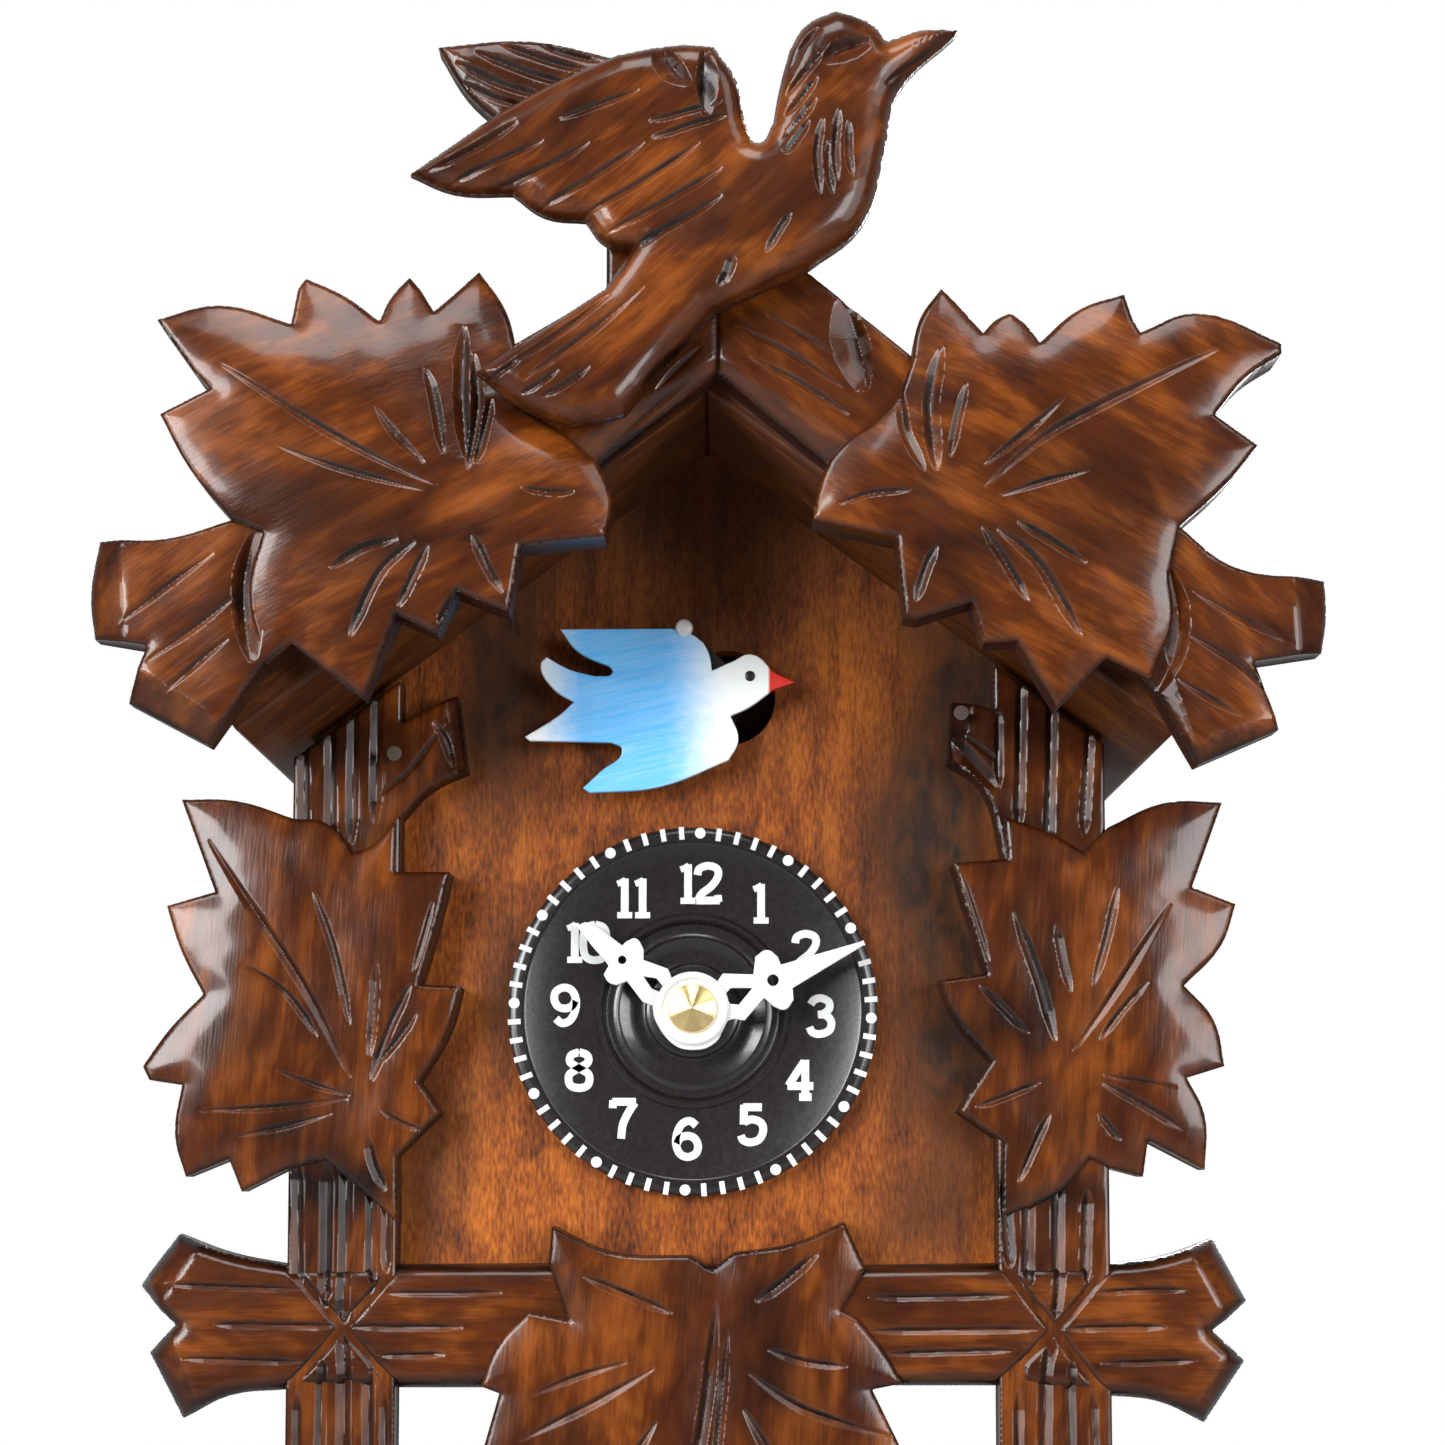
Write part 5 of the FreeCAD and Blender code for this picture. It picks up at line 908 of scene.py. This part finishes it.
dialLook = {  # profile: radius, depth from the panel
    "turn": 2.4,
    "profile": [
        (2.2, 0), (19, 0), (19, 1.8), (18.86, 2.15), (18.55, 2.38), (18.1, 2.45), (17.5, 2.45),
        (17.36, 2.28), (17.2, 2.2), (10.15, 2.2), (10.0, 2.35), (9.8, 2.5), (9.5, 2.5), (9.2, 2.3),
        (8.9, 1.75), (8.3, 1.62), (7.8, 1.75), (7.5, 2), (6.6, 1.7), (5.4, 1.5), (4.95, 1.6),
        (4.7, 2), (4.4, 2.1), (2.2, 2.1), (2.2, 0)],
    "barRing": 18.35, "bar": (0.54, 1.3), "dot": 0.56, "lift": 0.12, "digitRing": 13.15,
    "tall": 4.0, "wide": 1.14, "stroke": 0.8,
}
digitLines = {  # strokes in a box one unit high, from -0.5 to 0.5
    "0": [[(0, 0.46), (-0.21, 0.36), (-0.27, 0), (-0.21, -0.36), (0, -0.46), (0.21, -0.36),
          (0.27, 0), (0.21, 0.36), (0, 0.46)]],
    "1": [[(0, 0.5), (0, -0.5)], [(-0.17, 0.36), (-0.06, 0.41), (0.02, 0.47)], [(-0.17, -0.45),
          (0.17, -0.45)]],
    "2": [[(-0.24, 0.22), (-0.2, 0.38), (0, 0.46), (0.2, 0.38), (0.22, 0.18), (0.08, -0.06),
          (-0.14, -0.26), (-0.22, -0.42)], [(-0.27, -0.44), (0.26, -0.44)], [(0.22, -0.3),
          (0.23, -0.48)]],
    "3": [[(-0.22, 0.3), (-0.14, 0.42), (0.02, 0.46), (0.19, 0.36), (0.19, 0.18), (0.06, 0.06),
          (-0.06, 0.04)], [(-0.04, 0.04), (0.12, 0.02), (0.24, -0.14), (0.2, -0.36), (0, -0.46),
          (-0.18, -0.42), (-0.25, -0.28)]],
    "4": [[(0.1, 0.5), (0.1, -0.5)], [(0.08, 0.46), (-0.1, 0.16), (-0.28, -0.16)], [(-0.3, -0.17),
          (0.28, -0.17)], [(-0.04, -0.45), (0.24, -0.45)]],
    "5": [[(-0.18, 0.5), (-0.19, 0.0)], [(-0.2, 0.44), (0.22, 0.44)], [(-0.18, 0.06), (0, 0.13),
          (0.2, 0.04), (0.25, -0.16), (0.16, -0.38), (-0.04, -0.46), (-0.2, -0.4),
          (-0.25, -0.28)]],
    "6": [[(0.2, 0.34), (0.06, 0.46), (-0.12, 0.38), (-0.23, 0.14), (-0.25, -0.14),
          (-0.16, -0.38), (0.02, -0.46), (0.2, -0.36), (0.24, -0.16), (0.16, 0.02), (0, 0.08),
          (-0.16, 0.02), (-0.23, -0.12)]],
    "7": [[(-0.26, 0.44), (0.27, 0.44)], [(-0.24, 0.48), (-0.25, 0.28)], [(0.25, 0.42),
          (0.1, 0.16), (-0.02, -0.14), (-0.06, -0.5)]],
    "8": [[(0, 0.46), (-0.18, 0.38), (-0.2, 0.2), (0, 0.05), (0.22, -0.12), (0.2, -0.38),
          (0, -0.46), (-0.2, -0.38), (-0.22, -0.12), (0, 0.05), (0.2, 0.2), (0.18, 0.38),
          (0, 0.46)]],
    "9": [[(-0.2, -0.34), (-0.06, -0.46), (0.12, -0.38), (0.23, -0.14), (0.25, 0.14),
          (0.16, 0.38), (-0.02, 0.46), (-0.2, 0.36), (-0.24, 0.16), (-0.16, -0.02), (0, -0.08),
          (0.16, -0.02), (0.23, 0.12)]],
}


def stroke(bm, line, width, level, lift):  # a raised flat band along the line
    line = np.array(line)
    way = np.gradient(line, axis=0)
    way /= np.linalg.norm(way, axis=1)[:, None]
    aside = np.stack([-way[:, 1], way[:, 0]], 1) * width / 2
    made = bmesh.ops.create_grid(bm, x_segments=len(line) - 1, y_segments=1, size=1)["verts"]
    for i, v in enumerate(made):
        spot = line[i % len(line)] + aside[i % len(line)] * (1 if i < len(line) else -1)
        v.co = (spot[0], -level, spot[1])
    raised(bm, list({f for v in made for f in v.link_faces}), lift)


def raised(bm, geom, lift):  # pulls the flat faces out into a low block
    for v in bmesh.ops.extrude_face_region(bm, geom=geom)["geom"]:
        if isinstance(v, bmesh.types.BMVert):
            v.co.y -= lift


def dialWay(look, share):  # the direction of a share of the full turn, from twelve
    angle = math.radians(90 - 360 * share - look["turn"])
    return np.array([math.cos(angle), math.sin(angle)])


def dialPieces(look):
    profile = [(radius, panelFront + depth) for radius, depth in look["profile"]]
    face = turned("dial_face", profile, dialX, dialZ, finishes["dial"], "case", "black_plastic", 160)
    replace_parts(face, "dial")
    bm = bmesh.new()
    for minute in range(60):
        way = dialWay(look, minute / 60)
        at = way * look["barRing"]
        if minute % 5:
            wide, long = look["bar"]
            ends = [at - way * long / 2, at, at + way * long / 2]
            stroke(bm, ends, wide, inkBack - 0.1, look["lift"])
        else:
            upright = (Matrix.Translation((at[0], 0.1 - inkBack, at[1]))
                       @ Matrix.Rotation(math.pi / 2, 4, "X"))
            made = bmesh.ops.create_circle(bm, cap_ends=True, segments=20, radius=look["dot"],
                                           matrix=upright)["verts"]
            raised(bm, list({f for v in made for f in v.link_faces}), look["lift"])
    for hour in range(1, 13):
        at = dialWay(look, hour / 12) * look["digitRing"]
        marks = str(hour)
        for place, mark in enumerate(marks):
            shift = (place - (len(marks) - 1) / 2) * (0.52 if hour != 11 else 0.46)
            for number, path in enumerate(digitLines[mark]):
                line = flowing(path, 5) if len(path) > 2 else np.array(path, float)
                line = (line * [look["wide"], 1] + [shift, 0]) * look["tall"] + at
                stroke(bm, line, look["stroke"] * (0.8 if mark == "1" and number else 1),
                       inkBack - 0.4, look["lift"] + 0.01 * number)
    bmesh.ops.recalc_face_normals(bm, faces=bm.faces)
    bmesh.ops.translate(bm, verts=bm.verts, vec=(dialX, 0, dialZ))
    bmesh.ops.scale(bm, verts=bm.verts, vec=(mm, mm, mm))
    inks = finished("dial_numerals", bm, finishes["ink"], "case", 30)
    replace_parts(inks, "dial_markings")


dialPieces(dialLook)
print("dial made")


minuteHand = {
    "rings": [
        [(0.8, -42.2), (1.6, -41.1), (4.7, -41.2), (4.9, -39.4), (6.1, -38.7, 1), (7.2, -39.4),
        (7.5, -40.2), (15.8, -37.8), (16, -38.2), (8.7, -42.6), (8.8, -43.8), (7.9, -44.8, 1),
        (6.8, -44.5), (5.8, -43.6), (3.8, -45.9), (2.2, -45.9, 1), (0.9, -48.1, 1),
        (-1.3, -48.9, 1), (-3.7, -48.1, 1), (-5.1, -45.1, 1), (-3.7, -42.2, 1), (-1.3, -41.4, 1)],
        [(1.7, -43.4), (2.4, -42.6), (4.6, -42.6), (3.2, -44.3), (2.4, -44.2)],
        disc(6.7, -41.8, 0.58),
    ],
    "back": depthOf("minute_hand", 1), "front": minuteFront,
}
hourHand = {
    "rings": [
        [(-3.5, -41.7), (-4, -40.5), (-6.5, -39.6), (-6.5, -38.5), (-7.3, -37.4, 1), (-8.3, -37.7),
        (-8.7, -38.1), (-11.1, -36.3), (-12.5, -35.7), (-13.4, -36.1), (-11.7, -38.3),
        (-10.6, -39.5), (-10.1, -40.2), (-10.6, -41.1), (-10.1, -41.9, 1), (-9.3, -42.2),
        (-8.2, -41.8), (-6.6, -43.9), (-5.6, -44.3), (-5.3, -45.8, 1), (-3.6, -48, 1),
        (-1.3, -48.7, 1), (0.9, -47.8, 1), (2, -45, 1), (0.9, -42.1, 1), (-1.4, -41.4, 1)],
        [(-6.5, -41.3), (-5.2, -41.5), (-4.4, -42.5), (-4.8, -42.9), (-5.7, -42.5)],
        disc(-8.7, -39.6, 0.42),
    ],
    "back": depthOf("hour_hand", 1), "front": depthOf("hour_hand"),
}
handHub = [(2.0, -0.1), (3.75, -0.1), (3.75, 0.25), (3.5, 0.5), (3.2, 0.5), (2.9, 0.2), (2.0, 0.2),
           (2.0, -0.1)]  # radius, height over the minute hand's front
handNut = [(0, 0), (2.5, 0), (2.5, 0.45), (2.4, 0.6), (2.2, 0.68), (0.2, 1.65), (0, 1.68)]


def fromHand(profile):
    return [(radius, minuteFront + height) for radius, height in profile]


for name, node, plan, body in [("minute_hand_blade", "minute_hand", minuteHand, "minute_group"),
                               ("hour_hand_blade", "hour_hand", hourHand, "hour_group")]:
    blade = plate(name, plan["rings"], plan["back"], plan["front"], finishes["white"], body,
                  0.16)
    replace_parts(blade, node)
turned("minute_hand_hub", fromHand(handHub), dialX, dialZ, finishes["white"], "minute_group",
       "white_plastic", 64)
nutPiece = turned("hand_nut", fromHand(handNut), dialX, dialZ, finishes["turnedBrass"],
                  "minute_group", "brass", 64)
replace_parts(nutPiece, "hand_cap")
print("hands made")


flyingBird = {
    "outline": [
        (-3.7, -5.3), (-15.2, -5.4), (-13.4, -7.7, 1), (-10.1, -9.3), (-9.8, -9.9, 1),
        (-11.5, -10.3), (-14.2, -9.6, 1), (-16.6, -8.3), (-17.2, -9, 1), (-16, -11.5, 1),
        (-13.8, -13), (-15.2, -14.3, 1), (-18.8, -16.6), (-18.3, -17), (-9.9, -17.2),
        (-8.8, -17.9, 1), (-11, -20.2, 1), (-12.8, -21.9), (-12.1, -22.4), (-4.9, -21.8, 1),
        (2.2, -19), (3.2, -16.9, 1), (2.4, -14.4), (4.2, -13.6, 1), (6.3, -12.1), (6.8, -11.7),
        (9.1, -10.9), (6.9, -9.9), (4.6, -8, 1), (2.5, -8.8, 1), (0.5, -9.7), (0.2, -8, 1),
        (-0.4, -6.8), (-1.8, -5.8, 1)],
    "back": depthOf("flying_bird", 1), "front": depthOf("flying_bird"), "eye": (4.4, -10.3),
    "rivet": (-2.4, -5.3),
}
birdPiece = plate("flying_bird_body", [flyingBird["outline"]], flyingBird["back"], flyingBird["front"],
                  finishes["painted"], "rocker", 0.2)
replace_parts(birdPiece, "flying_bird")
beadLooks = {  # profile: radius, height over the bird's front
    "eye": [(0, -0.1), (0.55, -0.1), (0.55, 0.03), (0.35, 0.08), (0, 0.1)],
    "rivet": [(0, -0.2), (0.9, -0.2), (0.9, 0.2), (0.75, 0.45), (0.4, 0.55), (0, 0.58)],
}
for key, finish, steps in [("eye", "black", 24), ("rivet", "white", 28)]:
    profile = [(radius, flyingBird["front"] + height) for radius, height in beadLooks[key]]
    turned("flying_bird_" + key, profile, *flyingBird[key], finishes[finish], "rocker",
           "bird_paint", steps)
bobPlan = {
    "front": depthOf("pendulum_bob"), "back": depthOf("pendulum_bob", 1), "cell": 0.35,
    "edge": (0.9, 0.8), "crown": (5, 0.7), "finish": "upright",
    "outline": disc(rodX, -99.9, 9.45, 12),
    "grooves": [(1.1, 0.6, [(rodX, -92.5), (1.9, -100), (rodX, -107.5)])]
    + [(0.9, 0.5, [(rodX + side * out, z + rise) for out, rise in [(0.6, 0), (3.2, 1.5), (5.6, 3.8)]])
       for side in (-1, 1) for z in (-105, -102, -99)],  # veins on both sides
    "patches": [(rodX, -100, 3, 8, 0.25)],
}
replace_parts(carve("pendulum_disc", bobPlan, "bob"), "pendulum_bob")
print("bird and bob made")


boardEdges = {"left_side_wall": 0.3, "right_side_wall": 0.3,  # rounded by this much, in mm
              "left_roof_board": 0.5, "right_roof_board": 0.5}
# the front plate takes the brass painted dark as shade inside the case
nodeFinishes = {"carving_brads": "brad", "front_plate": "paintedShadeBrass", "bird_arm": "black",
                "left_roof_board": "leftRoof", "right_roof_board": "rightRoof"}
slotFinishes = {"panel_wood": "panel", "case_wood": "case", "plain_wood": "plain",
                "carved_wood": "upright", "carved_bird": "bird", "black_plastic": "black",
                "white_plastic": "white", "bird_paint": "painted", "brass": "brass",
                "steel": "steel", "spring_steel": "spring"}
slots = {part["node"]: part["material_slot"] for part in frame["record"]["subparts"]}
for name, node in nodes.items():
    node.data.materials.clear()
    node.data.materials.append(finishes[nodeFinishes.get(name, slotFinishes[slots[name]])])
    if name in boardEdges:
        weld = node.modifiers.new("weld", "WELD")
        weld.merge_threshold = 1e-6
        soft = node.modifiers.new("soft", "BEVEL")
        soft.width = boardEdges[name] * mm
        soft.segments = 3
        soft.limit_method = "ANGLE"
print("frame dressed")


def lamp(name, place, aim, width, height, power):
    light = bpy.data.lights.new(name, "AREA")
    light.shape = "RECTANGLE"
    light.size = width
    light.size_y = height
    light.energy = power
    holder = bpy.data.objects.new(name, light)
    holder.location = place
    holder.rotation_euler = (Vector(aim) - Vector(place)).to_track_quat("-Z", "Y").to_euler()
    scene.collection.objects.link(holder)


studio = {"white": 1.0, "front": 0.09, "back": 0.5, "floor": -0.3}
lamp("left_key", (-0.46, -0.74, 0.12), (0, -0.05, -0.03), 0.3, 0.3, 5.6)
lamp("right_key", (0.46, -0.74, 0.02), (0, -0.05, -0.03), 0.3, 0.3, 3.3)
for turn, power in {0: 0.8, 45: 0.8, 90: 1.8, 135: 2.2, 180: 1.7}.items():  # gleams for the cuts
    side = Vector((math.cos(math.radians(turn)), 0, math.sin(math.radians(turn)))) * 0.52
    lamp("strip_%d" % turn, side + Vector((0, -0.42, 0)), (0, -0.07, 0), 0.22, 0.32, power)
lamp("back_fill", (0.3, 0.9, 0.35), (0, 0, -0.03), 0.5, 0.5, 9)
world = bpy.data.worlds.new("studio")
world.use_nodes = True
scene.world = world
tree = Wire(world.node_tree)
cameraRay = tree.add("ShaderNodeLightPath")
along = tree.add("ShaderNodeSeparateXYZ", {}, {0: tree.add("ShaderNodeTexCoord")}, 1)
glow = along.over(-0.2, 0.5) * (studio["back"] - studio["front"]) + studio["front"]
shown = cameraRay * studio["white"] + (1 - cameraRay) * glow
tree.tree.links.new(shown.socket, tree.tree.nodes["Background"].inputs["Strength"])
tree.tree.nodes["Background"].inputs["Color"].default_value = (1, 1, 1, 1)
bm = bmesh.new()
bmesh.ops.create_circle(bm, cap_ends=True, segments=96, radius=1.2,
                        matrix=Matrix.Translation((0, 0, studio["floor"])))
floorMesh = bpy.data.meshes.new("studio_floor")
bm.to_mesh(floorMesh)
bm.free()
floor = bpy.data.objects.new("studio_floor", floorMesh)
scene.collection.objects.link(floor)
floorMesh.materials.append(finishes["floor"])

view = {"place": (0.001, -0.3645, -0.062), "pitch": 5.4, "lens": 77.68, "shift": (0.0038, 0.1125)}
camera = bpy.data.cameras.new("camera")
camera.sensor_width = 36
camera.lens = view["lens"]
camera.shift_x, camera.shift_y = view["shift"]
camera.clip_start = 0.01
holder = bpy.data.objects.new("camera", camera)
holder.location = view["place"]
holder.rotation_euler = (math.radians(90 + view["pitch"]), 0, 0)
scene.collection.objects.link(holder)
scene.camera = holder
scene.view_settings.view_transform = "Standard"
print("camera and light set")
